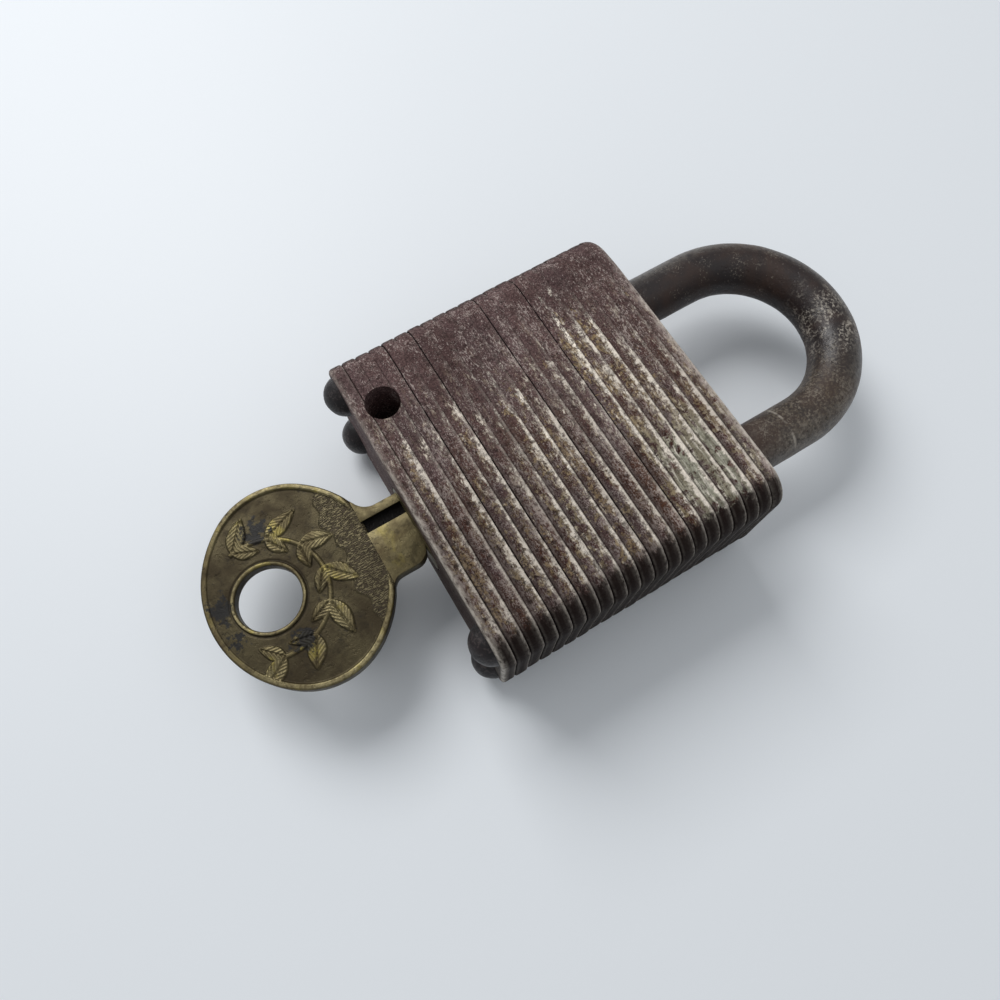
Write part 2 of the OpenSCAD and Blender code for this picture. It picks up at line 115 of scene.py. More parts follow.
class Graph:
    """A small helper that adds nodes to one node tree and links them."""

    def __init__(self, tree: bpy.types.NodeTree) -> None:
        """Keeps the tree that nodes are added to."""
        self.tree = tree

    def node(self, kind: str, **settings: object) -> bpy.types.Node:
        """Adds a node.

        Args:
            kind: The node's type name.
            settings: Properties to set on it.

        Returns:
            The new node.
        """
        made = self.tree.nodes.new(kind)
        for name, value in settings.items():
            setattr(made, name, value)
        return made

    def feed(self, target: Socket, source: object) -> None:
        """Links a socket to an input, or sets the input's own value.

        Args:
            target: The input.
            source: A socket, a number or a colour.
        """
        if isinstance(source, bpy.types.NodeSocket):
            self.tree.links.new(source, target)
        elif isinstance(source, tuple) and len(source) == 3 and target.type == "RGBA":
            target.default_value = (*source, 1.0)
        else:
            target.default_value = source

    def math(self, operation: str, *values: object) -> Socket:
        """Adds a Math node.

        Args:
            operation: What it does with its values.
            values: Its inputs in order, sockets or numbers.

        Returns:
            Its output.
        """
        made = self.node("ShaderNodeMath", operation=operation)
        for target, value in zip(made.inputs, values):
            self.feed(target, value)
        return made.outputs[0]

    def times(self, *values: object) -> Socket:
        """Multiplies masks.

        Args:
            values: The masks, sockets or numbers.

        Returns:
            Their product.
        """
        product = values[0]
        for value in values[1:]:
            product = self.math("MULTIPLY", product, value)
        return product

    def ramp(self, value: Socket, slope: object, start: object) -> Socket:
        """Returns the value times a slope, plus a start."""
        return self.math("MULTIPLY_ADD", value, slope, start)

    def rise(self, value: Socket, low: object, high: object) -> Socket:
        """Makes a smooth step, which falls where low is above high.

        Args:
            value: What steps.
            low: Where the step is 0.
            high: Where it is 1.

        Returns:
            The step.
        """
        made = self.node("ShaderNodeMapRange", interpolation_type="SMOOTHSTEP")
        self.feed(made.inputs["Value"], value)
        self.feed(made.inputs["From Min"], low)
        self.feed(made.inputs["From Max"], high)
        return made.outputs["Result"]

    def cover(self, under: object, over: object, *masks: object) -> Socket:
        """Lays one colour over another.

        Args:
            under: The colour below.
            over: The colour on top.
            masks: Where the top colour shows, multiplied.

        Returns:
            The blended colour.
        """
        made = self.node("ShaderNodeMix", data_type="RGBA")
        self.feed(made.inputs["Factor"], self.times(*masks))
        first, second = (item for item in made.inputs if item.type == "RGBA")
        self.feed(first, under)
        self.feed(second, over)
        return next(item for item in made.outputs if item.type == "RGBA")

    def noise(self, vector: Socket, scale: object, detail: float = 4.0,
              roughness: float = 0.6, distortion: float = 0.0) -> Socket:
        """Adds a Noise Texture.

        Args:
            vector: Coordinates that it reads.
            scale: Repeats a metre.
            detail: Octaves.
            roughness: Strength of the finer octaves.
            distortion: How far the pattern is warped.

        Returns:
            The noise value, about 0.5 on average.
        """
        made = self.node("ShaderNodeTexNoise")
        self.feed(made.inputs["Vector"], vector)
        self.feed(made.inputs["Scale"], scale)
        made.inputs["Detail"].default_value = detail
        made.inputs["Roughness"].default_value = roughness
        made.inputs["Distortion"].default_value = distortion
        return made.outputs["Fac"]

    def stretched(self, vector: Socket, scale: Point, shift: Point = (0.0, 0.0, 0.0)) -> Socket:
        """Stretches and shifts coordinates.

        Args:
            vector: The coordinates.
            scale: Factor along each axis.
            shift: What is added to them.

        Returns:
            The new coordinates.
        """
        made = self.node("ShaderNodeMapping")
        self.feed(made.inputs["Vector"], vector)
        made.inputs["Scale"].default_value = scale
        made.inputs["Location"].default_value = shift
        return made.outputs["Vector"]

    def axes(self, vector: Socket) -> list[Socket]:
        """Splits coordinates.

        Args:
            vector: The coordinates.

        Returns:
            X, Y and Z.
        """
        made = self.node("ShaderNodeSeparateXYZ")
        self.feed(made.inputs[0], vector)
        return list(made.outputs)

    def gap(self, vector: Socket, centre: Point) -> Socket:
        """Measures a distance.

        Args:
            vector: The coordinates.
            centre: A fixed point.

        Returns:
            How far the coordinates are from the point.
        """
        made = self.node("ShaderNodeVectorMath", operation="DISTANCE")
        self.feed(made.inputs[0], vector)
        made.inputs[1].default_value = centre
        return made.outputs["Value"]

    def attribute(self, name: str) -> Socket:
        """Returns a number stored on the piece's own vertices."""
        return self.node("ShaderNodeAttribute", attribute_name=name).outputs["Fac"]

    def use(self, group: bpy.types.NodeTree, **values: object) -> Socket:
        """Places a node group and feeds its inputs.

        Args:
            group: The group's tree.
            values: Inputs by name.

        Returns:
            The group's output.
        """
        made = self.node("ShaderNodeGroup", node_tree=group)
        for name, value in values.items():
            self.feed(made.inputs[name], value)
        return made.outputs[0]


def new_group(name: str, inputs: dict[str, str], output: str
              ) -> tuple[Graph, dict[str, Socket], Socket]:
    """Starts a shader node group with one number as its output.

    Args:
        name: The group's name.
        inputs: Input names and their kinds, Float or Vector.
        output: The output's name.

    Returns:
        The graph, its input sockets by name, and the socket that the result goes into.
    """
    tree = bpy.data.node_groups.new(name, "ShaderNodeTree")
    for label, kind in inputs.items():
        tree.interface.new_socket(label, in_out="INPUT", socket_type=f"NodeSocket{kind}")
    tree.interface.new_socket(output, in_out="OUTPUT", socket_type="NodeSocketFloat")
    graph = Graph(tree)
    entry = graph.node("NodeGroupInput")
    result = graph.node("NodeGroupOutput").inputs[output]
    return graph, {label: entry.outputs[label] for label in inputs}, result


@dataclass(frozen=True)
class SharedEffects:
    """Node groups that several finishes use."""

    mottle: bpy.types.NodeTree
    speckle: bpy.types.NodeTree
    pitting: bpy.types.NodeTree
    edge_wear: bpy.types.NodeTree


def make_mottle() -> bpy.types.NodeTree:
    """Makes soft-edged blotches: a warped noise cut between two levels.

    Returns:
        The group.
    """
    graph, given, result = new_group(
        "mottle", {"Vector": "Vector", "Scale": "Float", "Low": "Float", "High": "Float"}, "Mask")
    blotch = graph.noise(given["Vector"], given["Scale"], 8.0, 0.62, 0.4)
    graph.feed(result, graph.rise(blotch, given["Low"], given["High"]))
    return graph.tree


def make_speckle() -> bpy.types.NodeTree:
    """Makes fine specks that gather in clouds.

    Returns:
        The group.
    """
    graph, given, result = new_group(
        "speckle", {"Vector": "Vector", "Scale": "Float", "Amount": "Float"}, "Mask")
    fine = graph.noise(given["Vector"], given["Scale"], 3.0, 0.7)
    cloud = graph.noise(given["Vector"], graph.times(given["Scale"], 0.11), 3.0, 0.55)
    level = graph.math("ADD", fine, graph.times(cloud, 0.55))
    edge = graph.math("SUBTRACT", 1.02, given["Amount"])
    graph.feed(result, graph.rise(level, edge, graph.math("ADD", edge, 0.11)))
    return graph.tree


def make_pitting() -> bpy.types.NodeTree:
    """Makes the height of a corroded surface: broad unevenness, grains and pits.

    Returns:
        The group.
    """
    graph, given, result = new_group("pitting", {"Vector": "Vector", "Scale": "Float"}, "Height")
    vector, scale = given["Vector"], given["Scale"]
    broad = graph.noise(vector, graph.times(scale, 0.2), 4.0, 0.6)
    grain = graph.noise(vector, scale, 6.0, 0.68)
    pits = graph.rise(graph.noise(vector, graph.times(scale, 0.55), 4.0, 0.55), 0.42, 0.30)
    height = graph.math("ADD", graph.times(broad, 0.8), graph.times(grain, 0.7))
    graph.feed(result, graph.math("SUBTRACT", height, graph.times(pits, 0.5)))
    return graph.tree


def make_edge_wear() -> bpy.types.NodeTree:
    """Makes rubbed edges: the wear stored on the mesh, broken up by noise.

    Returns:
        The group.
    """
    graph, given, result = new_group(
        "edge_wear", {"Vector": "Vector", "Scale": "Float", "Amount": "Float"}, "Mask")
    broken = graph.noise(given["Vector"], given["Scale"], 6.0, 0.7)
    level = graph.times(graph.attribute("wear"), given["Amount"], graph.rise(broken, 0.3, 0.62))
    graph.feed(result, graph.math("MINIMUM", level, 1.0))
    return graph.tree


def make_effects() -> SharedEffects:
    """Builds each shared node group once."""
    return SharedEffects(make_mottle(), make_speckle(), make_pitting(), make_edge_wear())


def start_material(name: str) -> tuple[bpy.types.Material, Graph, Socket, bpy.types.Node]:
    """Starts a material.

    Args:
        name: The material's name.

    Returns:
        The material, its graph, the object coordinates, and its principled shader.
    """
    material = bpy.data.materials.new(name)
    material.use_nodes = True
    graph = Graph(material.node_tree)
    shader = material.node_tree.nodes["Principled BSDF"]
    return material, graph, graph.node("ShaderNodeTexCoord").outputs["Object"], shader


def add_bump(graph: Graph, shader: bpy.types.Node, height: Socket, depth: float) -> None:
    """Feeds a height into the shader's normal.

    Args:
        graph: The material's graph.
        shader: Its shader.
        height: The height, about 0 to 1.
        depth: How many metres a height of 1 is.
    """
    bump = graph.node("ShaderNodeBump")
    bump.inputs["Strength"].default_value = 1.0
    bump.inputs["Distance"].default_value = depth
    graph.feed(bump.inputs["Height"], height)
    graph.feed(shader.inputs["Normal"], bump.outputs["Normal"])


@dataclass(frozen=True)
class PlateSpot:
    """What the plates' finish reads at each point of the stack.

    place holds the object coordinates and streaks the same drawn out along X. within runs from
    0 at a plate's lower edge to 1 at its upper edge, and fall the other way. fine is noise about
    0, and right goes from 0 on the left side to 1 on the right.
    """

    graph: Graph
    effects: SharedEffects
    place: Socket
    streaks: Socket
    x: Socket
    y: Socket
    z: Socket
    within: Socket
    fall: Socket
    fine: Socket
    right: Socket


@dataclass(frozen=True)
class PlateFinish:
    """Rusted plates with ragged bare stripes under their upper edges, strongest to the right."""

    pitch: float
    bottom: float
    front: float
    top: float
    purple: Colour = paint(114, 92, 91)
    dark: Colour = paint(42, 29, 29)
    rust: Colour = paint(90, 54, 37)
    olive: Colour = paint(92, 78, 56)
    salt: Colour = paint(204, 190, 182)
    bare: Colour = paint(236, 226, 212)
    tan: Colour = paint(155, 133, 101)
    silver: Colour = paint(150, 150, 134)
    side: Colour = paint(30, 22, 19)
    seam: Colour = paint(20, 16, 15)
    gloom: Colour = paint(32, 20, 16)

    def read(self, graph: Graph, effects: SharedEffects, place: Socket) -> PlateSpot:
        """Works out what the layers of the finish share.

        Args:
            graph: The material's graph.
            effects: The shared node groups.
            place: Object coordinates.

        Returns:
            The shared sockets.
        """
        x, y, z = graph.axes(place)
        streaks = graph.stretched(place, (0.4, 1.0, 1.0))
        above = graph.math("SUBTRACT", y, self.bottom)
        within = graph.math("FRACT", graph.math("DIVIDE", above, self.pitch))
        return PlateSpot(
            graph, effects, place, streaks, x, y, z, within,
            fall=graph.math("SUBTRACT", 1.0, within),
            fine=graph.math("SUBTRACT", graph.noise(streaks, 2600, 4, 0.65), 0.5),
            right=graph.rise(x, -12 * MM, 12 * MM))

    def make(self, effects: SharedEffects) -> bpy.types.Material:
        """Builds the material.

        Args:
            effects: The shared node groups.

        Returns:
            The material.
        """
        material, graph, place, shader = start_material("rusted_plates")
        spot = self.read(graph, effects, place)
        worn, line = self.stripes(spot)
        colour = self.ground(spot)
        # Painted shade: the dark colour is laid over the lower part of each plate on the right,
        # where the rounded plate turns from the light.
        colour = graph.cover(colour, self.dark, graph.rise(spot.fall, 0.3, 0.95), spot.right, 0.72)
        colour = graph.cover(colour, self.worn_colour(spot, line), worn)
        colour = self.shade(spot, colour)
        edges = graph.use(effects.edge_wear, Vector=spot.streaks, Scale=2100.0, Amount=1.0)
        colour = graph.cover(colour, self.bare, edges, 0.62)
        seam = self.seams(spot)
        colour = graph.cover(colour, self.seam, seam)

        metal = graph.math("MAXIMUM", worn, edges)
        graph.feed(shader.inputs["Base Color"], colour)
        graph.feed(shader.inputs["Metallic"], graph.times(metal, 0.4))
        graph.feed(shader.inputs["Roughness"], graph.ramp(metal, -0.2, 0.62))
        shader.inputs["Specular IOR Level"].default_value = 0.06
        pits = graph.use(effects.pitting, Vector=place, Scale=3400.0)
        height = graph.math("SUBTRACT", pits, graph.times(seam, 1.2))
        height = graph.math("ADD", height, graph.times(worn, 0.25))
        add_bump(graph, shader, height, 0.15 * MM)
        return material

    def ground(self, spot: PlateSpot) -> Socket:
        """Colours the rust under the worn stripes.

        Args:
            spot: What is read at each point.

        Returns:
            The ground colour.
        """
        graph, place, right = spot.graph, spot.place, spot.right
        mottle, speckle = spot.effects.mottle, spot.effects.speckle
        shifted = graph.stretched(place, (0.5, 1, 1), (0.01, 0, 0))
        again = graph.stretched(shifted, (0.5, 1, 1), (0, 0.03, 0))
        clouds = graph.use(mottle, Vector=place, Scale=130.0, Low=0.36, High=0.68)
        grain = graph.use(mottle, Vector=place, Scale=4600.0, Low=0.34, High=0.62)
        brown = graph.use(mottle, Vector=shifted, Scale=210.0, Low=0.36, High=0.58)
        olive = graph.use(mottle, Vector=again, Scale=260.0, Low=0.50, High=0.66)
        colour = graph.cover(self.purple, self.dark, clouds, 0.45)
        colour = graph.cover(colour, self.rust, brown, graph.ramp(right, 0.85, 0.15))
        colour = graph.cover(colour, self.olive, olive, graph.times(right, 0.5))
        colour = graph.cover(colour, self.dark, grain, 0.68)
        amount = graph.ramp(right, 0.06, 0.165)
        drawn = graph.stretched(place, (0.45, 1, 1), (0.03, 0.02, 0))
        specks = graph.use(speckle, Vector=place, Scale=6200.0, Amount=amount)
        lots = graph.use(speckle, Vector=drawn, Scale=4200.0, Amount=amount)
        return graph.cover(colour, self.salt, graph.math("MAXIMUM", specks, lots), 0.52)

    def stripes(self, spot: PlateSpot) -> tuple[Socket, Socket]:
        """Lays out the bare stripes on the front face.

        Args:
            spot: What is read at each point.

        Returns:
            The mask of bare metal, and the mask of its bright upper lines.
        """
        graph, place, x, fall, fine = spot.graph, spot.place, spot.x, spot.fall, spot.fine
        broad = graph.math("SUBTRACT", graph.noise(spot.streaks, 420, 5, 0.6), 0.5)
        from_start = graph.math("SUBTRACT", x, graph.attribute("polish_from"))
        begun = graph.rise(graph.ramp(broad, 40 * MM, from_start), -9 * MM, 9 * MM)
        frayed = graph.ramp(broad, 10 * MM, graph.ramp(fine, 4 * MM, x))
        ended = graph.rise(frayed, 20.1 * MM, 19.2 * MM)
        facing = graph.rise(spot.z, self.front - 1.2 * MM, self.front - 0.4 * MM)
        area = graph.times(ended, facing, graph.attribute("polish"))

        tongues = graph.noise(graph.stretched(place, (1.0, 0.3, 1.0)), 1500, 5, 0.65)
        drip = graph.ramp(fine, 1.2, graph.times(broad, 2.4))
        drip = graph.ramp(graph.math("SUBTRACT", tongues, 0.5), 2.6, drip)
        foot = graph.math("ADD", graph.attribute("polish_width"), drip)
        band = graph.rise(graph.math("SUBTRACT", foot, fall), -0.05, 0.10)
        line = graph.rise(graph.math("ADD", fall, graph.times(drip, -0.4)), 0.30, 0.12)

        silvery = graph.times(graph.attribute("tint"), self.rightmost(spot))
        firm = graph.ramp(silvery, 0.07, graph.ramp(begun, 0.26, -0.26))
        shreds = graph.stretched(place, (0.55, 1.0, 1.0), (0.02, 0.01, 0.0))

        def torn(vector: Socket, scale: float, roughness: float, low: float, high: float) -> Socket:
            """Returns a ragged mask that is fuller where the stripes are firm."""
            level = graph.math("ADD", graph.noise(vector, scale, 8, roughness), firm)
            return graph.rise(level, low, high)

        chips = torn(place, 2100, 0.78, 0.44, 0.50)
        patches = torn(shreds, 520, 0.7, 0.44, 0.48)
        broken = torn(shreds, 700, 0.75, 0.46, 0.51)
        holes = graph.use(spot.effects.mottle, Vector=place, Scale=800.0, Low=0.40, High=0.45)
        worn = graph.times(area, band, chips, holes, patches)
        kept = graph.times(area, line, broken, 0.92)
        slight = graph.times(facing, ended, graph.rise(x, -14 * MM, 4 * MM),
                             graph.rise(fall, 0.28, 0.08), graph.rise(broad, -0.04, 0.08),
                             chips, 0.6)

        moved = graph.stretched(place, (0.5, 1.0, 1.0), (0.05, 0.0, 0.0))
        flecks = graph.rise(graph.noise(moved, 620, 9, 0.85), 0.49, 0.55)
        grit = graph.rise(graph.noise(spot.streaks, 3600, 4, 0.7), 0.42, 0.56)
        middle = graph.times(graph.rise(x, -16 * MM, -6 * MM), graph.rise(x, 12 * MM, 2 * MM))
        blobs = graph.times(facing, middle, flecks, grit, graph.rise(fall, 0.85, 0.35), 0.85)
        bare = graph.math("MAXIMUM", graph.math("MAXIMUM", worn, kept), slight)
        return graph.math("MAXIMUM", bare, blobs), graph.math("MAXIMUM", line, blobs)

    def rightmost(self, spot: PlateSpot) -> Socket:
        """Returns a mask of the right half, where some stripes are silvery."""
        return spot.graph.rise(spot.x, 2 * MM, 12 * MM)

    def worn_colour(self, spot: PlateSpot, line: Socket) -> Socket:
        """Colours a stripe: bright along its upper line, tan or grey below.

        Args:
            spot: What is read at each point.
            line: The mask of the bright upper lines.

        Returns:
            The stripe's colour.
        """
        graph = spot.graph
        brushed = graph.noise(graph.stretched(spot.place, (0.12, 1.0, 1.0)), 2600, 3, 0.6)
        silvery = graph.times(graph.attribute("tint"), self.rightmost(spot))
        tan = graph.cover(self.tan, self.silver, silvery)
        tan = graph.cover(tan, self.olive, graph.rise(brushed, 0.62, 0.36), 0.5)
        glints = graph.times(graph.rise(brushed, 0.52, 0.66), 0.7)
        return graph.cover(tan, self.bare, graph.math("MAXIMUM", line, glints), 0.96)

    def shade(self, spot: PlateSpot, colour: Socket) -> Socket:
        """Paints shade on the lower right and on the turned sides, darkens the pocks, and frosts
        the top border.

        Args:
            spot: What is read at each point.
            colour: The colour so far.

        Returns:
            The new colour.
        """
        graph, fine = spot.graph, spot.fine
        pocks = graph.use(spot.effects.mottle, Vector=spot.place, Scale=1500.0, Low=0.53, High=0.63)
        # Painted shade: the lower right is darkened, and the pocks there most of all.
        lower = graph.times(spot.right, graph.rise(spot.y, 18 * MM, -18 * MM))
        colour = graph.cover(colour, self.gloom, pocks, graph.ramp(lower, 0.35, 0.45))
        colour = graph.cover(colour, self.gloom, lower, 0.36)
        border = graph.rise(spot.y, self.top - 1.6 * MM, self.top - 0.4 * MM)
        colour = graph.cover(colour, self.salt, border, graph.rise(fine, -0.12, 0.06),
                             graph.rise(spot.x, -22 * MM, -6 * MM), 0.6)
        # Painted shade: both turned sides take the dark side colour, the left one a little less.
        ragged = graph.ramp(fine, 4 * MM, spot.x)
        left_turn = graph.times(graph.rise(ragged, -20.3 * MM, -21.7 * MM), 0.85)
        turned = graph.math("MAXIMUM", graph.rise(ragged, 18.6 * MM, 20.0 * MM), left_turn)
        colour = graph.cover(colour, self.side, turned, 0.96)
        return graph.cover(colour, self.salt, graph.rise(spot.fall, 0.12, 0.04), turned,
                           graph.rise(fine, -0.1, 0.05), 0.5)

    def seams(self, spot: PlateSpot) -> Socket:
        """Draws the dark line between plates, broken where rust fills it.

        Args:
            spot: What is read at each point.

        Returns:
            The mask.
        """
        graph = spot.graph
        near = graph.math("MINIMUM", spot.within, graph.math("SUBTRACT", 1.0, spot.within))
        return graph.times(graph.rise(near, 0.05, 0.02), graph.attribute("seam"),
                           graph.rise(spot.fine, -0.20, 0.0))


@dataclass(frozen=True)
class ShackleFinish:
    """Dark satin steel, browner in the bend, rubbed pale at the crown and by the toe leg."""

    rub_centre: Point
    toe_centre: Point
    ring_y: float
    dark: Colour = paint(34, 27, 27)
    brown: Colour = paint(54, 37, 29)
    pale: Colour = paint(176, 168, 156)
    grey: Colour = paint(132, 124, 112)
    tan: Colour = paint(98, 86, 70)

    def make(self, effects: SharedEffects) -> bpy.types.Material:
        """Builds the material.

        Args:
            effects: The shared node groups.

        Returns:
            The material.
        """
        material, graph, place, shader = start_material("dark_shackle")
        mottle = effects.mottle
        clouds = graph.use(mottle, Vector=place, Scale=130.0, Low=0.36, High=0.66)
        rubbed = graph.use(mottle, Vector=place, Scale=2600.0, Low=0.46, High=0.62)
        patchy = graph.use(mottle, Vector=place, Scale=420.0, Low=0.40, High=0.58)
        specks = graph.use(effects.speckle, Vector=place, Scale=3400.0, Amount=0.15)
        edges = graph.use(effects.edge_wear, Vector=place, Scale=1500.0, Amount=0.8)
        crown = self.near(graph, place, self.rub_centre, 8.0 * MM)
        toe = self.near(graph, place, self.toe_centre, 12.5 * MM)
        colour = graph.cover(self.dark, self.brown, clouds)
        colour = graph.cover(colour, self.tan, toe, graph.ramp(rubbed, 0.45, 0.12))
        colour = graph.cover(colour, self.grey, toe, patchy, rubbed, 0.45)
        colour = graph.cover(colour, self.pale, crown, patchy, rubbed, 0.75)
        colour = graph.cover(colour, self.grey, specks, 0.45)
        colour = graph.cover(colour, self.pale, self.ring(graph, place), patchy, 0.7)
        colour = graph.cover(colour, self.pale, edges, 0.5)
        graph.feed(shader.inputs["Base Color"], colour)
        shader.inputs["Specular IOR Level"].default_value = 0.4
        graph.feed(shader.inputs["Roughness"], graph.ramp(clouds, 0.16, 0.34))
        pits = graph.use(effects.pitting, Vector=place, Scale=1700.0)
        add_bump(graph, shader, pits, 0.08 * MM)
        return material

    def near(self, graph: Graph, place: Socket, centre: Point, reach: float) -> Socket:
        """Returns a mask that is 1 at a centre and fades to 0 at a reach from it."""
        return graph.rise(graph.gap(place, centre), reach, reach * 0.25)

    def ring(self, graph: Graph, place: Socket) -> Socket:
        """Draws the thin ring worn into the upper side of the toe leg.

        Args:
            graph: The material's graph.
            place: Object coordinates.

        Returns:
            The mask.
        """
        x, y, z = graph.axes(place)
        away = graph.math("ABSOLUTE", graph.math("SUBTRACT", y, self.ring_y))
        return graph.times(graph.rise(away, 0.24 * MM, 0.06 * MM), graph.rise(x, 0.0, 4 * MM),
                           graph.rise(z, 11.2 * MM, 13.4 * MM))


@dataclass(frozen=True)
class BrassFinish:
    """Tarnished brass: olive in the hollows, yellower where rubbed, with dark stains, and painted
    shade on the key's walls and in its milled groove.
    """

    name: str
    stains: tuple[Point, ...] = ()
    olive: Colour = paint(104, 95, 68)
    rubbed: Colour = paint(160, 149, 112)
    yellow: Colour = paint(132, 120, 62)
    brown: Colour = paint(76, 66, 46)
    stain: Colour = paint(27, 26, 26)
    grime_and_shade: Colour = paint(36, 31, 24)
    dirt: Colour = paint(52, 45, 38)
    groove_shade: Colour = paint(8, 6, 5)

    def make(self, effects: SharedEffects) -> bpy.types.Material:
        """Builds the material.

        Args:
            effects: The shared node groups.

        Returns:
            The material.
        """
        material, graph, place, shader = start_material(self.name)
        mottle = effects.mottle
        moved = graph.stretched(place, (1, 1, 1), (0.05, 0.01, 0))
        clouds = graph.use(mottle, Vector=place, Scale=190.0, Low=0.36, High=0.64)
        grime = graph.use(mottle, Vector=place, Scale=620.0, Low=0.50, High=0.66)
        warm = graph.use(mottle, Vector=moved, Scale=260.0, Low=0.52, High=0.68)
        specks = graph.use(effects.speckle, Vector=place, Scale=2600.0, Amount=0.14)
        edges = graph.use(effects.edge_wear, Vector=place, Scale=1700.0, Amount=1.0)
        relief = graph.math("SUBTRACT", 1.0, graph.attribute("grime_and_shade"))
        band = graph.attribute("band")
        strokes = graph.noise(graph.stretched(place, (1.0, 0.18, 1.0)), 8600, 1, 0.5)
        hatch = graph.rise(strokes, 0.40, 0.60)
        blots = self.blots(graph, effects, place)
        colour = graph.cover(self.olive, self.brown, clouds)
        colour = graph.cover(colour, self.grime_and_shade, grime, 0.45)
        colour = graph.cover(colour, self.yellow, warm, graph.rise(relief, 0.45, 0.75), 0.8)
        # Painted shade: low relief values also mark the key's outer and inner walls and the blade's
        # sides, which this colours dark; in the ornament's hollows the dark is grime.
        colour = graph.cover(colour, self.grime_and_shade, graph.rise(relief, 0.6, 0.15), 0.8)
        # Painted shade: only the milled groove falls this low, and it is coloured near-black.
        colour = graph.cover(colour, self.groove_shade, graph.rise(relief, -0.2, -0.8))
        colour = graph.cover(colour, self.dirt, band, 0.8)
        colour = graph.cover(colour, self.rubbed, band, hatch, 0.26)
        colour = graph.cover(colour, self.rubbed, edges, graph.ramp(clouds, -0.35, 0.72))
        colour = graph.cover(colour, self.stain, blots)
        colour = graph.cover(colour, self.stain, specks, 0.5)
        graph.feed(shader.inputs["Base Color"], colour)
        graph.feed(shader.inputs["Metallic"], graph.ramp(blots, -0.6, 0.7))
        graph.feed(shader.inputs["Roughness"], graph.ramp(clouds, 0.14, 0.38))
        shader.inputs["Specular IOR Level"].default_value = 0.2
        pits = graph.use(effects.pitting, Vector=place, Scale=2400.0)
        add_bump(graph, shader, graph.math("ADD", pits, graph.times(band, hatch, 1.6)), 0.05 * MM)
        return material

    def blots(self, graph: Graph, effects: SharedEffects, place: Socket) -> Socket:
        """Lays out dark blots: a few placed ones and some at random.

        Args:
            graph: The material's graph.
            effects: The shared node groups.
            place: Object coordinates.

        Returns:
            The mask.
        """
        uneven = graph.math("SUBTRACT", graph.noise(place, 900, 8, 0.7), 0.5)
        ragged = graph.times(uneven, 8 * MM)
        moved = graph.stretched(place, (1, 1, 1), (0.02, 0.01, 0))
        total = graph.use(effects.mottle, Vector=moved, Scale=240.0, Low=0.66, High=0.74)
        total = graph.times(total, 0.6)
        for x, y, reach in self.stains:
            away = graph.gap(graph.stretched(place, (1, 1, 0)), (x, y, 0))
            near = graph.rise(graph.math("ADD", away, ragged), reach, reach * 0.6)
            total = graph.math("MAXIMUM", total, graph.times(near, 0.93))
        return total


@dataclass(frozen=True)
class SteelFinish:
    """Plain steel with clouds and grain: near-black on the rivets, brighter inside the lock."""

    name: str
    base: Colour
    cloud: Colour
    fleck: Colour
    metallic: float
    roughness: float
    gloss: float
    depth: float

    def make(self, effects: SharedEffects) -> bpy.types.Material:
        """Builds the material.

        Args:
            effects: The shared node groups.

        Returns:
            The material.
        """
        material, graph, place, shader = start_material(self.name)
        clouds = graph.use(effects.mottle, Vector=place, Scale=420.0, Low=0.36, High=0.64)
        specks = graph.use(effects.speckle, Vector=place, Scale=2400.0, Amount=0.2)
        colour = graph.cover(self.base, self.cloud, clouds)
        graph.feed(shader.inputs["Base Color"], graph.cover(colour, self.fleck, specks, 0.35))
        shader.inputs["Metallic"].default_value = self.metallic
        shader.inputs["Specular IOR Level"].default_value = self.gloss
        graph.feed(shader.inputs["Roughness"], graph.ramp(clouds, 0.15, self.roughness))
        pits = graph.use(effects.pitting, Vector=place, Scale=1900.0)
        add_bump(graph, shader, pits, self.depth)
        return material


# ---------------------------------------------------------------- mesh building


def add_object(shape: Shape, name: str) -> Piece:
    """Makes an object at the origin from a bmesh.

    Args:
        shape: The bmesh, which is freed.
        name: The object's name.

    Returns:
        The new object.
    """
    mesh = bpy.data.meshes.new(name)
    shape.to_mesh(mesh)
    shape.free()
    made = bpy.data.objects.new(name, mesh)
    bpy.context.scene.collection.objects.link(made)
    return made


def finish_mesh(shape: Shape, name: str, material: bpy.types.Material) -> Piece:
    """Makes a piece from a bmesh, with smooth faces that point outwards.

    Args:
        shape: The bmesh, which is freed.
        name: The piece's name.
        material: Its finish.

    Returns:
        The new piece.
    """
    bmesh.ops.recalc_face_normals(shape, faces=shape.faces)
    piece = add_object(shape, name)
    piece.data.materials.append(material)
    piece.data.shade_smooth()
    return piece


def keep_creases(piece: Piece, degrees: float) -> None:
    """Marks edges sharper than an angle, so that smooth faces keep them."""
    piece.data.set_sharp_from_angle(angle=math.radians(degrees))


def grow_ring(shape: Shape, ring: list[Edge]) -> tuple[list[Vert], list[Edge]]:
    """Extrudes an open ring of edges.

    Args:
        shape: The bmesh.
        ring: The ring.

    Returns:
        The vertices and the edges of the new ring, which lies on the old one.
    """
    grown = bmesh.ops.extrude_edge_only(shape, edges=ring)["geom"]
    verts = [item for item in grown if isinstance(item, Vert)]
    return verts, [item for item in grown if isinstance(item, Edge) and item.is_boundary]


def carve(piece: Piece, cutter: Piece) -> None:
    """Subtracts a cutter from a piece for good.

    Args:
        piece: The piece, which gets a new mesh.
        cutter: The cutter, which is removed.
    """
    cut = piece.modifiers.new("carve", "BOOLEAN")
    cut.operation = "DIFFERENCE"
    cut.solver = "EXACT"
    cut.object = cutter
    graph = bpy.context.evaluated_depsgraph_get()
    carved = bpy.data.meshes.new_from_object(piece.evaluated_get(graph))
    piece.modifiers.clear()
    old = piece.data
    piece.data = carved
    carved.name = old.name.split(".")[0]
    bpy.data.meshes.remove(old)
    bpy.data.objects.remove(cutter, do_unlink=True)


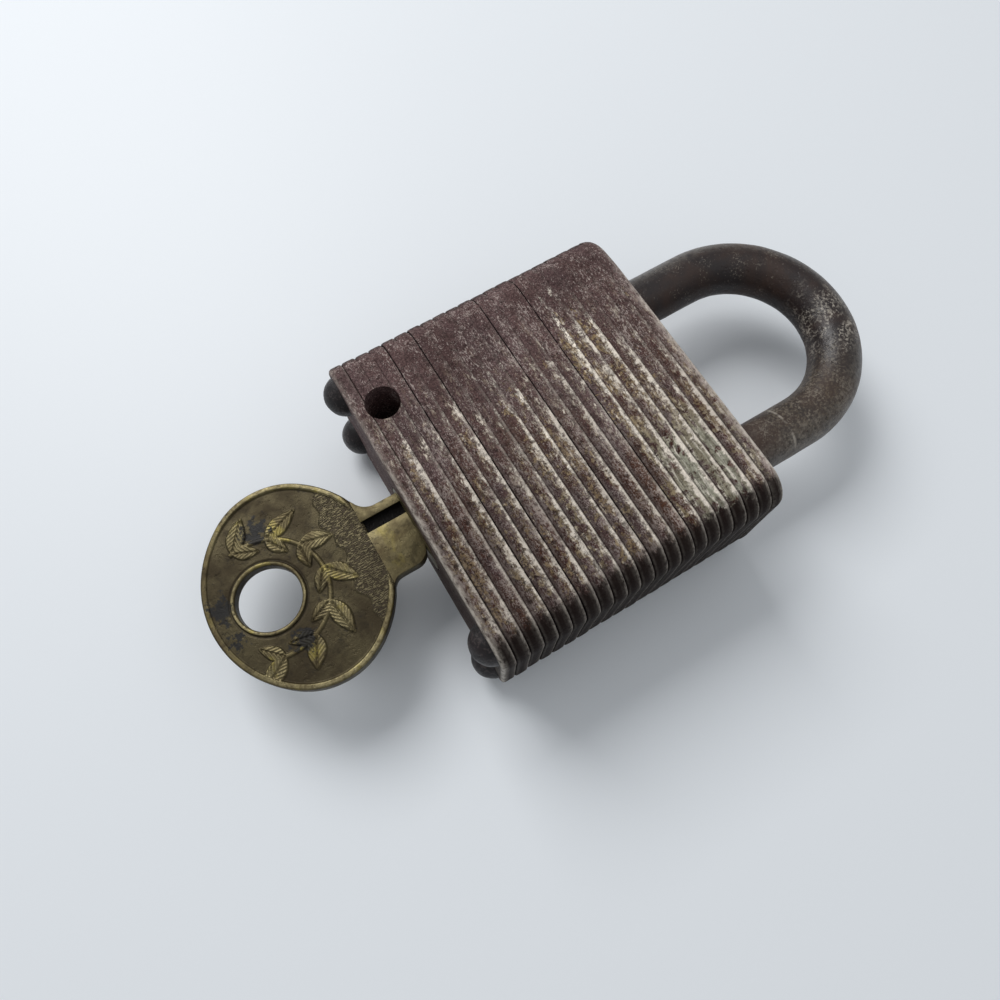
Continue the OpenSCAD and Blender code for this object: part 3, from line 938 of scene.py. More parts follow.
def clean(piece: Piece) -> None:
    """Takes out the slivers that carving leaves, and splits the big faces into triangles.

    Args:
        piece: The carved piece.
    """
    shape = bmesh.new()
    shape.from_mesh(piece.data)
    bmesh.ops.remove_doubles(shape, verts=shape.verts, dist=WELD)
    bmesh.ops.dissolve_degenerate(shape, dist=WELD, edges=shape.edges)
    bmesh.ops.triangulate(shape, faces=[face for face in shape.faces if len(face.verts) > 4])
    bmesh.ops.dissolve_degenerate(shape, dist=WELD, edges=shape.edges)
    shape.to_mesh(piece.data)
    shape.free()


def block(low: Vector, high: Vector) -> Piece:
    """Makes a plain block for carving.

    Args:
        low: Its lowest corner.
        high: Its highest corner.

    Returns:
        The cutter.
    """
    shape = bmesh.new()
    bmesh.ops.create_cube(shape, size=1.0)
    bmesh.ops.scale(shape, vec=high - low, verts=shape.verts)
    bmesh.ops.translate(shape, vec=(low + high) / 2, verts=shape.verts)
    return add_object(shape, "cutter")


def rod(start: Vector, end: Vector, radius: float, segments: int = 64) -> Piece:
    """Makes a plain round rod for carving.

    Args:
        start: One end of its axis.
        end: The other end.
        radius: Its radius.
        segments: Facets round it.

    Returns:
        The cutter.
    """
    shape = bmesh.new()
    along = end - start
    turn = along.to_track_quat("Z", "Y").to_matrix().to_4x4()
    bmesh.ops.create_cone(shape, cap_ends=True, segments=segments, radius1=radius, radius2=radius,
                          depth=along.length, matrix=Matrix.Translation((start + end) / 2) @ turn)
    return add_object(shape, "cutter")


def settle(piece: Piece, body: Body, slot: Slot, *nodes: str) -> Piece:
    """Puts a piece on its body, in place of its CAD nodes, and logs it.

    Args:
        piece: The finished piece.
        body: The body that it rides on.
        slot: The material slot that it takes its finish from; not used.
        nodes: The CAD nodes that it stands for.

    Returns:
        The piece.
    """
    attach(piece, body.value)
    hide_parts(*nodes)
    LOG.info("%s rides on %s, %d faces", piece.name, body.value, len(piece.data.polygons))
    return piece


@dataclass(frozen=True)
class Station:
    """One ring of a plate's rim: its inset, its height from 0 to 1, and its wear."""

    inset: float
    height: float
    wear: float


def stations(*rows: tuple[float, float, float]) -> list[Station]:
    """Lists a rim's rings from the bottom up, with their insets given in millimetres."""
    return [Station(inset * MM, height, wear) for inset, height, wear in rows]


PLAIN_RIM = stations((0.5, 0.0, 0.0), (0.16, 0.03, 0.0), (0.03, 0.12, 0.1), (0.0, 0.26, 0.0),
                     (0.0, 0.5, 0.0), (0.0, 0.76, 0.1), (0.02, 0.88, 0.5), (0.13, 0.965, 0.45),
                     (0.5, 1.0, 0.0))
FIRST_RIM = stations((0.7, 0.0, 0.2), (0.36, 0.02, 0.9), (0.12, 0.10, 1.0), (0.0, 0.24, 0.4),
                     (0.0, 0.5, 0.0), (0.0, 0.78, 0.1), (0.02, 0.9, 0.45), (0.14, 0.97, 0.5),
                     (0.5, 1.0, 0.0))
LAST_RIM = stations((0.5, 0.0, 0.0), (0.1, 0.04, 0.2), (0.0, 0.16, 0.1), (0.0, 0.45, 0.0),
                    (0.03, 0.66, 0.2), (0.14, 0.82, 0.8), (0.34, 0.93, 1.0), (0.62, 0.985, 0.9),
                    (1.0, 1.0, 0.3))


@dataclass(frozen=True)
class PlateWear:
    """How one plate's bare stripe looks."""

    start: float
    width: float
    strength: float
    silver: float


def stripe_looks(*rows: tuple[float, float, float, float]) -> tuple[PlateWear, ...]:
    """Lists the looks plate by plate from the key end, with their starts in millimetres."""
    return tuple(PlateWear(start * MM, *rest) for start, *rest in rows)


STRIPES = stripe_looks(
    (-13, 0.5, 0.7, 0.1), (-12, 0.8, 0.75, 0.0), (1, 0.2, 0.5, 0.2), (-1, 0.6, 0.85, 0.2),
    (0, 0.7, 0.85, 0.2), (-5, 0.6, 0.8, 0.0), (3, 0.7, 0.9, 0.0), (2, 0.6, 0.9, 0.2),
    (-9, 0.6, 0.9, 0.3), (-11, 0.65, 1.0, 0.1), (-9, 0.95, 0.75, 0.0), (3, 0.5, 0.85, 0.2),
    (-6, 0.25, 0.7, 0.2), (8, 0.2, 0.3, 0.0), (-14, 0.7, 1.0, 0.3), (-12, 1.0, 0.9, 0.8),
    (-15, 0.95, 0.95, 1.0), (-7, 0.95, 0.9, 0.8), (-6, 1.0, 0.9, 1.0), (-5, 0.7, 0.7, 0.3),
    (-9, 0.8, 0.8, 0.5))


@dataclass
class PlateStack:
    """The stack of steel plates, each with a rounded, uneven rim round its true cavities."""

    count: int = 21
    corner: float = 4.2 * MM
    corner_steps: int = 12
    step: float = 0.55 * MM
    chain_x: float = 9.27 * MM
    chain_y: float = 3.75 * MM
    chain_radius: float = 2.25 * MM
    rivet_x: float = 3.75 * MM
    rivet_z: float = 4.1 * MM
    rivet_hole: float = 1.65 * MM
    nose_hole: float = 6.2 * MM
    shell_hole: float = 8.05 * MM
    chamber: float = 6.5 * MM
    chamber_reach: float = 14.25 * MM
    open_seams: tuple[int, ...] = (4, 6, 11, 14)
    crease: float = 50.0
    low: Vector = field(init=False)
    high: Vector = field(init=False)
    middle: Vector = field(init=False)
    pitch: float = field(init=False)

    def __post_init__(self) -> None:
        """Takes the stack's box from the frame."""
        self.low, self.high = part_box(self.node(1))[0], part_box(self.node(self.count))[1]
        self.middle = (self.low + self.high) / 2
        self.pitch = (self.high.y - self.low.y) / self.count

    def node(self, index: int) -> str:
        """Returns the CAD node of plate index, counted from the key end."""
        return f"body_plate_{index:02d}"

    def level(self, index: float) -> float:
        """Returns Y after a number of plates, counted from the key end."""
        return self.low.y + index * self.pitch

    def build(self, material: bpy.types.Material) -> None:
        """Builds every plate and settles it on the body.

        Args:
            material: Their finish.
        """
        for index in range(1, self.count + 1):
            shape = self.core(index)
            self.rim(shape, index)
            piece = finish_mesh(shape, f"plate_{index:02d}", material)
            if self.drilled(index):
                self.drill(piece, index)
            self.store(piece, index)
            keep_creases(piece, self.crease)
            settle(piece, Body.BODY, Slot.PLATES, self.node(index))

    def drilled(self, index: int) -> bool:
        """Tells whether the chain hole passes through a plate."""
        return self.level(index - 1) < self.low.y + self.chain_y + self.chain_radius

    def core(self, index: int) -> Shape:
        """Makes a plate's two flat faces, open round the outside.

        Args:
            index: The plate's number.

        Returns:
            The flat faces, with every cavity's wall unless the plate is drilled afterwards.
        """
        shape = bmesh.new()
        if self.drilled(index):
            for y in (self.level(index - 1), self.level(index)):
                self.blank(shape, y)
            return shape
        shape.from_mesh(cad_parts[self.node(index)].data)
        bmesh.ops.remove_doubles(shape, verts=shape.verts, dist=WELD)
        outer = [face for face in shape.faces if abs(face.normal.y) < 0.5
                 and self.outside(face.calc_center_median()) > -0.1 * MM]
        bmesh.ops.delete(shape, geom=outer, context="FACES")
        return shape

    def blank(self, shape: Shape, y: float) -> None:
        """Adds a rounded rectangle across Y, the whole outline of a plate.

        Args:
            shape: The plate's bmesh.
            y: Its place along the stack.
        """
        size = Matrix.Diagonal((self.high.x - self.low.x, self.high.z - self.low.z, 1, 1))
        turn = Matrix.Rotation(math.pi / 2, 4, "X") @ size
        place = Matrix.Translation((self.middle.x, y, self.middle.z))
        made = bmesh.ops.create_grid(shape, x_segments=1, y_segments=1, size=0.5,
                                     matrix=place @ turn)
        bmesh.ops.bevel(shape, geom=made["verts"], offset=self.corner, affect="VERTICES",
                        segments=self.corner_steps, profile=0.5, material=-1)

    def drill(self, piece: Piece, index: int) -> None:
        """Cuts the cavities of a plate that was made without them.

        Args:
            piece: The plate.
            index: Its number.
        """
        start, end = self.level(index - 1.5), self.level(index + 0.5)
        for x in (self.low.x + self.rivet_x, self.high.x - self.rivet_x):
            for z in (self.low.z + self.rivet_z, self.high.z - self.rivet_z):
                carve(piece, rod(Vector((x, start, z)), Vector((x, end, z)), self.rivet_hole))
        radius = self.nose_hole if index == 1 else self.shell_hole
        z = self.middle.z
        carve(piece, rod(Vector((0, start, z)), Vector((0, end, z)), radius))
        if index > 1:
            half = self.chamber / 2
            carve(piece, block(Vector((0, start, z - half)),
                               Vector((self.chamber_reach, end, z + half))))
        x, y = self.low.x + self.chain_x, self.low.y + self.chain_y
        carve(piece, rod(Vector((x, y, self.low.z - MM)), Vector((x, y, self.high.z + MM)),
                         self.chain_radius))
        clean(piece)

    def nearest(self, point: Vector) -> Vector:
        """Finds the place from which the outline's corner radius is drawn.

        Args:
            point: Any point.

        Returns:
            The point of the inner rectangle nearest to it, in X and Z.
        """
        reach_x = (self.high.x - self.low.x) / 2 - self.corner
        reach_z = (self.high.z - self.low.z) / 2 - self.corner
        x, z = point.x - self.middle.x, point.z - self.middle.z
        return Vector((self.middle.x + max(-reach_x, min(reach_x, x)), point.y,
                       self.middle.z + max(-reach_z, min(reach_z, z))))

    def outward(self, point: Vector) -> Vector:
        """Returns the direction straight out of the outline at a point."""
        return (point - self.nearest(point)).normalized()

    def outside(self, point: Vector) -> float:
        """Returns how far a point lies outside the outline, negative inside."""
        return (point - self.nearest(point)).length - self.corner

    def on_outline(self, point: Vector) -> Vector:
        """Returns the point of the true outline beside a point."""
        return self.nearest(point) + self.outward(point) * self.corner

    def rim(self, shape: Shape, index: int) -> None:
        """Builds a plate's rim ring by ring, from its lower face to its upper face.

        Args:
            shape: The plate's core.
            index: The plate's number.
        """
        wear = shape.verts.layers.float.new("wear")
        for edge in [edge for edge in shape.edges if edge.is_boundary]:
            if edge.calc_length() > 1.5 * self.step:
                cuts = int(edge.calc_length() / self.step)
                bmesh.ops.subdivide_edges(shape, edges=[edge], cuts=cuts)
        rims = [edge for edge in shape.edges if edge.is_boundary]
        lower = [edge for edge in rims if edge.verts[0].co.y < self.level(index - 0.5)]
        upper = [edge for edge in rims if edge.verts[0].co.y > self.level(index - 0.5)]
        profile = {1: FIRST_RIM, self.count: LAST_RIM}.get(index, PLAIN_RIM)
        for ring, station in ((lower, profile[0]), (upper, profile[-1])):
            verts = {vert for edge in ring for vert in edge.verts}
            self.move_ring({vert: vert.co.copy() for vert in verts}, station, index, wear)
        ring = lower
        for station in profile[1:-1]:
            verts, ring = grow_ring(shape, ring)
            self.move_ring({vert: self.on_outline(vert.co) for vert in verts}, station, index, wear)
        bmesh.ops.bridge_loops(shape, edges=ring + upper)

    def move_ring(self, places: dict[Vert, Vector], station: Station, index: int,
                  wear: bmesh.types.BMLayerItem) -> None:
        """Puts one ring of the rim in place, uneven as the real one.

        Args:
            places: The ring's vertices, with their places on the true outline.
            station: Which ring it is.
            index: The plate's number.
            wear: The bmesh's wear layer.
        """
        end = index in (1, self.count)
        flat = station.height in (0.0, 1.0) and not end
        least = 0.35 if end else 0.08
        for vert, spot in places.items():
            inset = station.inset * (1.0 if end else self.seam_depth(spot))
            if not flat:
                inset += self.unevenness(spot, index, station.height)
            if index == self.count:
                inset += 0.7 * MM * smooth(-14 * MM, -22 * MM, spot.x) * station.height ** 2
            place = spot - self.outward(spot) * inset
            place.y = self.level(index - 1 + station.height)
            vert.co = place
            vert[wear] = station.wear * (least + (1 - least) * smooth(-16 * MM, 6 * MM, spot.x))

    def front(self, spot: Vector) -> float:
        """Returns 1 on the front face, 0 on the sides and the back."""
        return smooth(self.high.z - 1.2 * MM, self.high.z - 0.1 * MM, spot.z)

    def seam_depth(self, spot: Vector) -> float:
        """Returns how open a seam is: nearly shut on the left of the front, open on the right."""
        shut = 0.97 - 0.17 * smooth(-11 * MM, 9 * MM, spot.x)
        return 1.0 - shut * self.front(spot)

    def unevenness(self, spot: Vector, index: int, height: float) -> float:
        """Works out how far the rim stands in from the true outline, never outside it.

        Args:
            spot: The place on the true outline.
            index: The plate's number.
            height: Height in the plate, from 0 to 1.

        Returns:
            The distance.
        """
        def ripple(repeats: float, seed: float) -> float:
            """Returns noise along the outline, from -1 to 1."""
            return noise.noise(Vector((spot.x * repeats, seed, spot.z * repeats)))

        shift = noise.noise(Vector((index * 7.31, 2.7, 0.4))) * 0.10 * MM
        wave = ripple(160, index * 3.1) * 0.07 * MM
        grain = ripple(900, index * 5.0 + height * 2.0) * 0.02 * MM
        calm = 1.0 - self.front(spot) * (0.8 - 0.35 * smooth(-9 * MM, 9 * MM, spot.x))
        return 0.10 * MM + calm * (shift + wave) + grain

    def seam(self, spot: Vector, index: int) -> float:
        """Works out how dark the seam nearest to a point is.

        Args:
            spot: The point.
            index: The number of the plate that it is on.

        Returns:
            The seam's strength, 0 on the stack's ends.
        """
        edge = index if spot.y > self.level(index - 0.5) else index - 1
        if not 0 < edge < self.count:
            return 0.0
        return 1.0 if edge in self.open_seams else 0.05 + 0.45 * smooth(-10 * MM, 12 * MM, spot.x)

    def store(self, piece: Piece, index: int) -> None:
        """Stores what the finish reads from each plate.

        Args:
            piece: The plate.
            index: Its number.
        """
        mesh = piece.data
        many = len(mesh.vertices)
        look = STRIPES[index - 1]
        values = {
            "polish_from": [look.start] * many,
            "polish_width": [look.width] * many,
            "polish": [look.strength] * many,
            "tint": [look.silver] * many,
            "seam": [self.seam(vert.co, index) for vert in mesh.vertices],
        }
        for name, numbers in values.items():
            mesh.attributes.new(name, "FLOAT", "POINT").data.foreach_set("value", numbers)


@dataclass
class Rivets:
    """The four rivets: a domed head, a shank and a flush coned end, turned in one piece."""

    head_radius: float = 2.75 * MM
    head_height: float = 2.2 * MM
    head_lip: float = 0.25 * MM
    shank_radius: float = 1.6 * MM
    flush_radius: float = 2.2 * MM
    flush_height: float = 0.9 * MM
    inset_x: float = 3.75 * MM
    inset_z: float = 4.1 * MM
    arc_steps: int = 9
    turns: int = 40
    seed: int = 1
    wear: float = 0.2
    crease: float = 50.0

    def build(self, stack: PlateStack, material: bpy.types.Material) -> None:
        """Turns the rivets and settles them on the body.

        Args:
            stack: The plates that they hold.
            material: Their finish.
        """
        shape = bmesh.new()
        wear = shape.verts.layers.float.new("wear")
        for x in (stack.low.x + self.inset_x, stack.high.x - self.inset_x):
            for z in (stack.low.z + self.inset_z, stack.high.z - self.inset_z):
                self.turn(shape, Vector((x, 0, z)), stack.low.y, stack.high.y)
        bmesh.ops.remove_doubles(shape, verts=shape.verts, dist=WELD / 2)
        noise.seed_set(self.seed)
        for vert in shape.verts:
            if vert.co.y < stack.low.y - 0.05 * MM:
                dent = noise.noise_vector(vert.co * 520) * 0.09 * MM
                vert.co += Vector((dent.x, abs(dent.y), dent.z))
            vert[wear] = self.wear
        piece = finish_mesh(shape, "four_rivets", material)
        keep_creases(piece, self.crease)
        settle(piece, Body.BODY, Slot.RIVETS, "rivets")

    def turn(self, shape: Shape, axis: Vector, low: float, high: float) -> None:
        """Turns one rivet from a half outline.

        Args:
            shape: The bmesh that takes it.
            axis: A point of its axis, which runs along Y.
            low: Y under the head.
            high: Y of the flush end.
        """
        dome = (self.head_radius ** 2 + self.head_height ** 2) / (2 * self.head_height)
        open_angle = math.asin(self.head_radius / dome)
        angles = [open_angle * k / self.arc_steps for k in range(self.arc_steps + 1)]
        outline = [(dome * math.sin(angle), low - self.head_height + dome * (1 - math.cos(angle)))
                   for angle in angles]
        outline += [(self.head_radius - self.head_lip, low), (self.shank_radius, low),
                    (self.shank_radius, high - self.flush_height),
                    (self.flush_radius, high - 0.05 * MM), (self.flush_radius * 0.55, high),
                    (0.0, high)]
        verts = [shape.verts.new((axis.x + radius, y, axis.z)) for radius, y in outline]
        edges = [shape.edges.new(pair) for pair in zip(verts, verts[1:])]
        bmesh.ops.spin(shape, geom=verts + edges, cent=axis, axis=(0, 1, 0), dvec=(0, 0, 0),
                       angle=math.tau, steps=self.turns, use_merge=True, use_duplicate=False)


@dataclass
class Shackle:
    """The bent rod, with its long heel leg, short toe leg, notches and keeper groove."""

    rod: float = 7.26 * MM
    bevel: float = 0.8 * MM
    toe_depth: float = 10.9 * MM
    notch_depth: float = 1.7 * MM
    notch_plates: float = 17.0
    notch_height: float = 4.21 * MM
    lift: float = 13.3 * MM
    keeper_radius: float = 2.5 * MM
    round_steps: int = 56
    bend_steps: int = 72
    leg_step: float = 0.9 * MM
    crease: float = 40.0
    radius: float = field(init=False)
    leg: float = field(init=False)
    bend: Vector = field(init=False)
    heel_end: float = field(init=False)

    def __post_init__(self) -> None:
        """Takes the shackle's place from the frame."""
        low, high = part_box("shackle")
        self.radius = self.rod / 2
        self.leg = (high.x - low.x) / 2 - self.radius
        self.bend = Vector((0, high.y - self.radius - self.leg, (low.z + high.z) / 2))
        self.heel_end = low.y

    def build(self, stack: PlateStack, material: bpy.types.Material) -> None:
        """Bends the rod, cuts its notches and settles it on its body.

        Args:
            stack: The plates that it stands in.
            material: Its finish.
        """
        shape = bmesh.new()
        shape.verts.layers.float.new("wear")
        notch = stack.level(self.notch_plates)
        half = self.notch_height / 2
        keeper = (notch - self.lift - half, notch - self.lift + half)
        ring = self.first_ring(shape)
        ring = self.run_leg(shape, ring, self.heel_end + self.bevel, self.bend.y, -self.leg, keeper)
        spun = bmesh.ops.spin(shape, geom=ring + list({v for e in ring for v in e.verts}),
                              cent=self.bend, axis=(0, 0, -1), dvec=(0, 0, 0), angle=math.pi,
                              steps=self.bend_steps, use_merge=False, use_duplicate=False)
        ring = [item for item in spun["geom_last"] if isinstance(item, Edge)]
        toe_end = stack.high.y - self.toe_depth
        ring = self.run_leg(shape, ring, self.bend.y, toe_end + self.bevel, self.leg, None)
        tip, ring = grow_ring(shape, ring)
        self.place_ring(tip, self.leg, toe_end, self.radius - self.bevel)
        bmesh.ops.contextual_create(shape, geom=ring)
        self.roughen(shape)
        piece = finish_mesh(shape, "shackle_rod", material)
        self.notch(piece, notch)
        clean(piece)
        keep_creases(piece, self.crease)
        settle(piece, Body.SHACKLE, Slot.SHACKLE, "shackle")

    def first_ring(self, shape: Shape) -> list[Edge]:
        """Starts the rod with its bevelled heel end.

        Args:
            shape: The rod's bmesh.

        Returns:
            The open ring.
        """
        place = Matrix.Translation((-self.leg, self.heel_end, self.bend.z))
        made = bmesh.ops.create_circle(shape, cap_ends=True, segments=self.round_steps,
                                       radius=self.radius - self.bevel,
                                       matrix=place @ Matrix.Rotation(math.pi / 2, 4, "X"))
        edges = list({edge for vert in made["verts"] for edge in vert.link_edges})
        verts, ring = grow_ring(shape, edges)
        self.place_ring(verts, -self.leg, self.heel_end + self.bevel, self.radius)
        return ring

    def place_ring(self, verts: list[Vert], x: float, y: float, radius: float) -> None:
        """Puts a ring's vertices on a circle across Y.

        Args:
            verts: The vertices.
            x: X of the circle's centre.
            y: Y of its centre.
            radius: Its radius.
        """
        middle = sum((vert.co for vert in verts), Vector()) / len(verts)
        for vert in verts:
            away = Vector((vert.co.x - middle.x, 0, vert.co.z - middle.z)).normalized()
            vert.co = Vector((x, y, self.bend.z)) + away * radius

    def run_leg(self, shape: Shape, ring: list[Edge], start: float, end: float, x: float,
                keeper: tuple[float, float] | None) -> list[Edge]:
        """Extrudes a leg along Y in short steps.

        Args:
            shape: The rod's bmesh.
            ring: The open ring at the start.
            start: Y of the ring.
            end: Y of the leg's last ring.
            x: X of the leg's axis.
            keeper: Lower and upper Y of the keeper groove, if the leg has one.

        Returns:
            The open ring at the end.
        """
        count = max(2, round(abs(end - start) / self.leg_step))
        rings = [(start + (end - start) * k / count, self.radius) for k in range(1, count + 1)]
        if keeper:
            low, high = keeper
            room, wall = 0.2 * MM, 0.01 * MM
            rings = [item for item in rings if not low - room < item[0] < high + room]
            rings += [(low, self.radius), (low + wall, self.keeper_radius),
                      (high - wall, self.keeper_radius), (high, self.radius)]
            rings.sort()
        for y, radius in rings:
            verts, ring = grow_ring(shape, ring)
            self.place_ring(verts, x, y, radius)
        return ring

    def roughen(self, shape: Shape) -> None:
        """Makes the rod a little uneven, inwards only, and rubbed on the outside of the bend.

        Args:
            shape: The rod's bmesh.
        """
        wear = shape.verts.layers.float["wear"]
        for vert in shape.verts:
            x, y, _ = vert.co
            if y > self.bend.y:
                axis = Vector((x, y - self.bend.y, 0)).normalized() * self.leg + self.bend
            else:
                axis = Vector((math.copysign(self.leg, x), y, self.bend.z))
            away = vert.co - axis
            if away.length > 0.9 * self.radius:
                dent = (0.04 * MM * (1 + noise.noise(vert.co * 230))
                        + 0.02 * MM * noise.noise(vert.co * 900))
                out = away.normalized()
                spread = (axis - self.bend).normalized()
                vert[wear] = 0.5 * smooth(0.35, 0.95, out.dot(spread) + 0.3 * out.z)
                vert.co -= out * dent

    def notch(self, piece: Piece, y: float) -> None:
        """Cuts the notch that faces a locking lever into each leg.

        Args:
            piece: The rod.
            y: Y of the notches' middle.
        """
        half, tall = self.notch_height / 2, self.radius + MM
        inner = self.leg - self.radius - MM
        floor = self.leg - self.radius + self.notch_depth
        for near, far in ((-floor, -inner), (inner, floor)):
            carve(piece, block(Vector((near, y - half, self.bend.z - tall)),
                               Vector((far, y + half, self.bend.z + tall))))


@dataclass
class Leaf:
    """One raised leaf of the ornament, in the bow's plane."""

    x: float
    y: float
    angle: float
    length: float
    width: float
    edge: float = 0.12 * MM
    ribs: float = 0.62 * MM

    def height(self, x: float, y: float) -> float:
        """Works out the leaf's height.

        Args:
            x: X of the point.
            y: Y of the point.

        Returns:
            The height, from 0 outside to 1 on the leaf's swell.
        """
        dx, dy = x - self.x, y - self.y
        along = dx * math.cos(self.angle) + dy * math.sin(self.angle)
        side = abs(dy * math.cos(self.angle) - dx * math.sin(self.angle))
        part = along / self.length
        if not 0.0 < part < 1.0:
            return 0.0
        half = self.width * math.sin(math.pi * part ** 0.8) * 0.5
        if side > half + self.edge:
            return 0.0
        body = smooth(half + self.edge, half - 0.05 * MM, side)
        vein = 0.55 * smooth(0.16 * MM, 0.03 * MM, side)
        ribs = 0.28 * (0.5 + 0.5 * math.cos((along + side * 1.3) / self.ribs * math.tau))
        return body * (1.0 - vein - ribs)


@dataclass
class Key:
    """The brass key: an oval bow with a rim, a ring, a hatched band and leaves, and a blade."""

    bow_x: float = -1.15 * MM
    bow_y: float = 16.1 * MM
    bow_width: float = 27.6 * MM
    bow_length: float = 23.8 * MM
    side_radius: float = 9.9 * MM
    hole_radius: float = 4.2 * MM
    hole_y: float = 20.1 * MM
    neck: float = 5.7 * MM
    lap: float = 0.3 * MM
    rim: float = 0.75 * MM
    sunk: float = 0.32 * MM
    edge: float = 0.28 * MM
    spine: float = 5.3 * MM
    blade_width: float = 7.9 * MM
    stop_width: float = 9.9 * MM
    blade_length: float = 19.6 * MM
    blade_bevel: float = 0.12 * MM
    cuts: tuple[int, ...] = (2, 4, 3, 1)
    cut_least: float = 0.4 * MM
    cut_step: float = 0.6 * MM
    cut_first: float = 5.4 * MM
    cut_pitch: float = 3.9 * MM
    cut_root: float = 1.2 * MM
    groove: tuple[float, float] = (-4.05 * MM, -2.25 * MM)
    groove_depth: float = 0.62 * MM
    stem_reach: float = 7.7 * MM
    stem_start: float = 192.0
    leaf_turn: float = 33.5
    pairs: int = 7
    around: int = 700
    front_steps: int = 100
    back_steps: int = 14
    wall_steps: int = 6
    crease: float = 60.0
    stop_y: float = field(init=False)
    low_z: float = field(init=False)
    high_z: float = field(init=False)
    side_shift: float = field(init=False)
    end_shift: float = field(init=False)
    leaves: list[Leaf] = field(init=False)

    def __post_init__(self) -> None:
        """Takes the key's place from the frame and lays out its oval and its leaves."""
        low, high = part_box("key")
        self.low_z, self.high_z = low.z, high.z
        self.stop_y = low.y + self.bow_y + self.bow_length / 2
        self.side_shift = self.bow_width / 2 - self.side_radius
        rise = self.bow_length / 2 - self.side_radius
        self.end_shift = (self.side_shift ** 2 - rise ** 2) / (2 * rise)
        self.leaves = self.sprig()

    def build(self, material: bpy.types.Material) -> None:
        """Makes the key and settles it on the plug's body.

        Args:
            material: Its finish.
        """
        shape = self.bow()
        self.add_blade(shape)
        piece = finish_mesh(shape, "brass_key", material)
        keep_creases(piece, self.crease)
        settle(piece, Body.PLUG, Slot.BRASS, "key")

    def place(self, reach: float, angle: float) -> tuple[float, float]:
        """Returns X and Y at a distance from the hole's centre, in a direction."""
        return (self.bow_x + reach * math.cos(angle),
                self.stop_y - self.hole_y + reach * math.sin(angle))

    def sprig(self) -> list[Leaf]:
        """Lays pairs of leaves along a stem that bends round the hole.

        Returns:
            The leaves.
        """
        leaves = []
        for k in range(self.pairs):
            turn = math.radians(self.stem_start - k * self.leaf_turn)
            x, y = self.place(self.stem_reach, turn)
            heading = turn - math.pi / 2
            long = (4.9 + 0.5 * math.sin(k * 2.1)) * MM
            leaves += [Leaf(x, y, heading + 0.72, long, 2.3 * MM),
                       Leaf(x, y, heading - 0.62, 3.5 * MM, 1.7 * MM)]
        return leaves

    def outline_gap(self, x: float, y: float) -> float:
        """Measures how far a point lies inside the bow's oval.

        Args:
            x: X of the point.
            y: Y of the point.

        Returns:
            The distance to the nearest of its four arcs, negative outside.
        """
        across = abs(x - self.bow_x)
        along = abs(y - self.stop_y + self.bow_y)
        lower = along + self.end_shift
        if across * self.end_shift < lower * self.side_shift:
            return self.bow_length / 2 + self.end_shift - math.hypot(across, lower)
        return self.side_radius - math.hypot(across - self.side_shift, along)

    def outline_radius(self, angle: float) -> float:
        """Finds the bow's outline by halving.

        Args:
            angle: The direction from the hole's centre.

        Returns:
            The outline's distance from the hole's centre.
        """
        near, far = self.hole_radius, self.bow_width
        for _ in range(30):
            reach = (near + far) / 2
            x, y = self.place(reach, angle)
            if self.outline_gap(x, y) > 0 and y < self.stop_y - self.neck + self.lap:
                near = reach
            else:
                far = reach
        return near

    def ornament(self, x: float, y: float, hole_gap: float, front: bool) -> tuple[float, float]:
        """Works out the relief at a point of the bow.

        Args:
            x: X of the point.
            y: Y of the point.
            hole_gap: Distance from the hole's edge.
            front: Whether it is the front face.

        Returns:
            The depth below the rim's top, and how much of the hatched band is there.
        """
        down = self.stop_y - y
        angle = math.atan2(self.bow_y - down, x - self.bow_x)
        raised = smooth(self.rim + 0.14 * MM, self.rim - 0.10 * MM, self.outline_gap(x, y))
        raised *= 1.0 - 0.6 * smooth(-0.5, -1.1, angle) * smooth(-2.9, -2.4, angle)
        raised *= smooth(self.neck - 0.1 * MM, self.neck + 0.5 * MM, down)
        ring = smooth(0.62 * MM, 0.45 * MM, hole_gap)
        groove = smooth(0.95 * MM, 0.7 * MM, hole_gap) * (1 - ring)
        depth = self.sunk * (1 - max(raised, ring * 0.85)) + 0.06 * MM * groove
        if not front or raised > 0.6 or ring > 0.5:
            return depth, 0.0
        wave = 0.45 * MM * math.sin(x * 700) + 0.3 * MM * math.sin(x * 1900 + 1)
        band = smooth(9.9 * MM + wave, 9.6 * MM + wave, down) * (1 - raised)
        top = max((leaf.height(x, y) for leaf in self.leaves
                   if math.hypot(leaf.x - x, leaf.y - y) < leaf.length), default=0.0)
        top = max(top, 0.8 * self.stem(x, y))
        depth -= 0.06 * MM * band * (1 - top) + 0.26 * MM * top * (1 - raised)
        return depth, band * (1 - smooth(0.0, 0.3, top))

    def stem(self, x: float, y: float) -> float:
        """Works out the height of the stem, an arc about the hole.

        Args:
            x: X of the point.
            y: Y of the point.

        Returns:
            The height, from 0 to 1.
        """
        dx, dy = x - self.bow_x, y - (self.stop_y - self.hole_y)
        turn = math.degrees(math.atan2(dy, dx)) % 360
        end = self.stem_start - (self.pairs - 1) * self.leaf_turn + 360
        if self.stem_start + 3 < turn < end:
            return 0.0
        return smooth(0.34 * MM, 0.16 * MM, abs(math.hypot(dx, dy) - self.stem_reach))

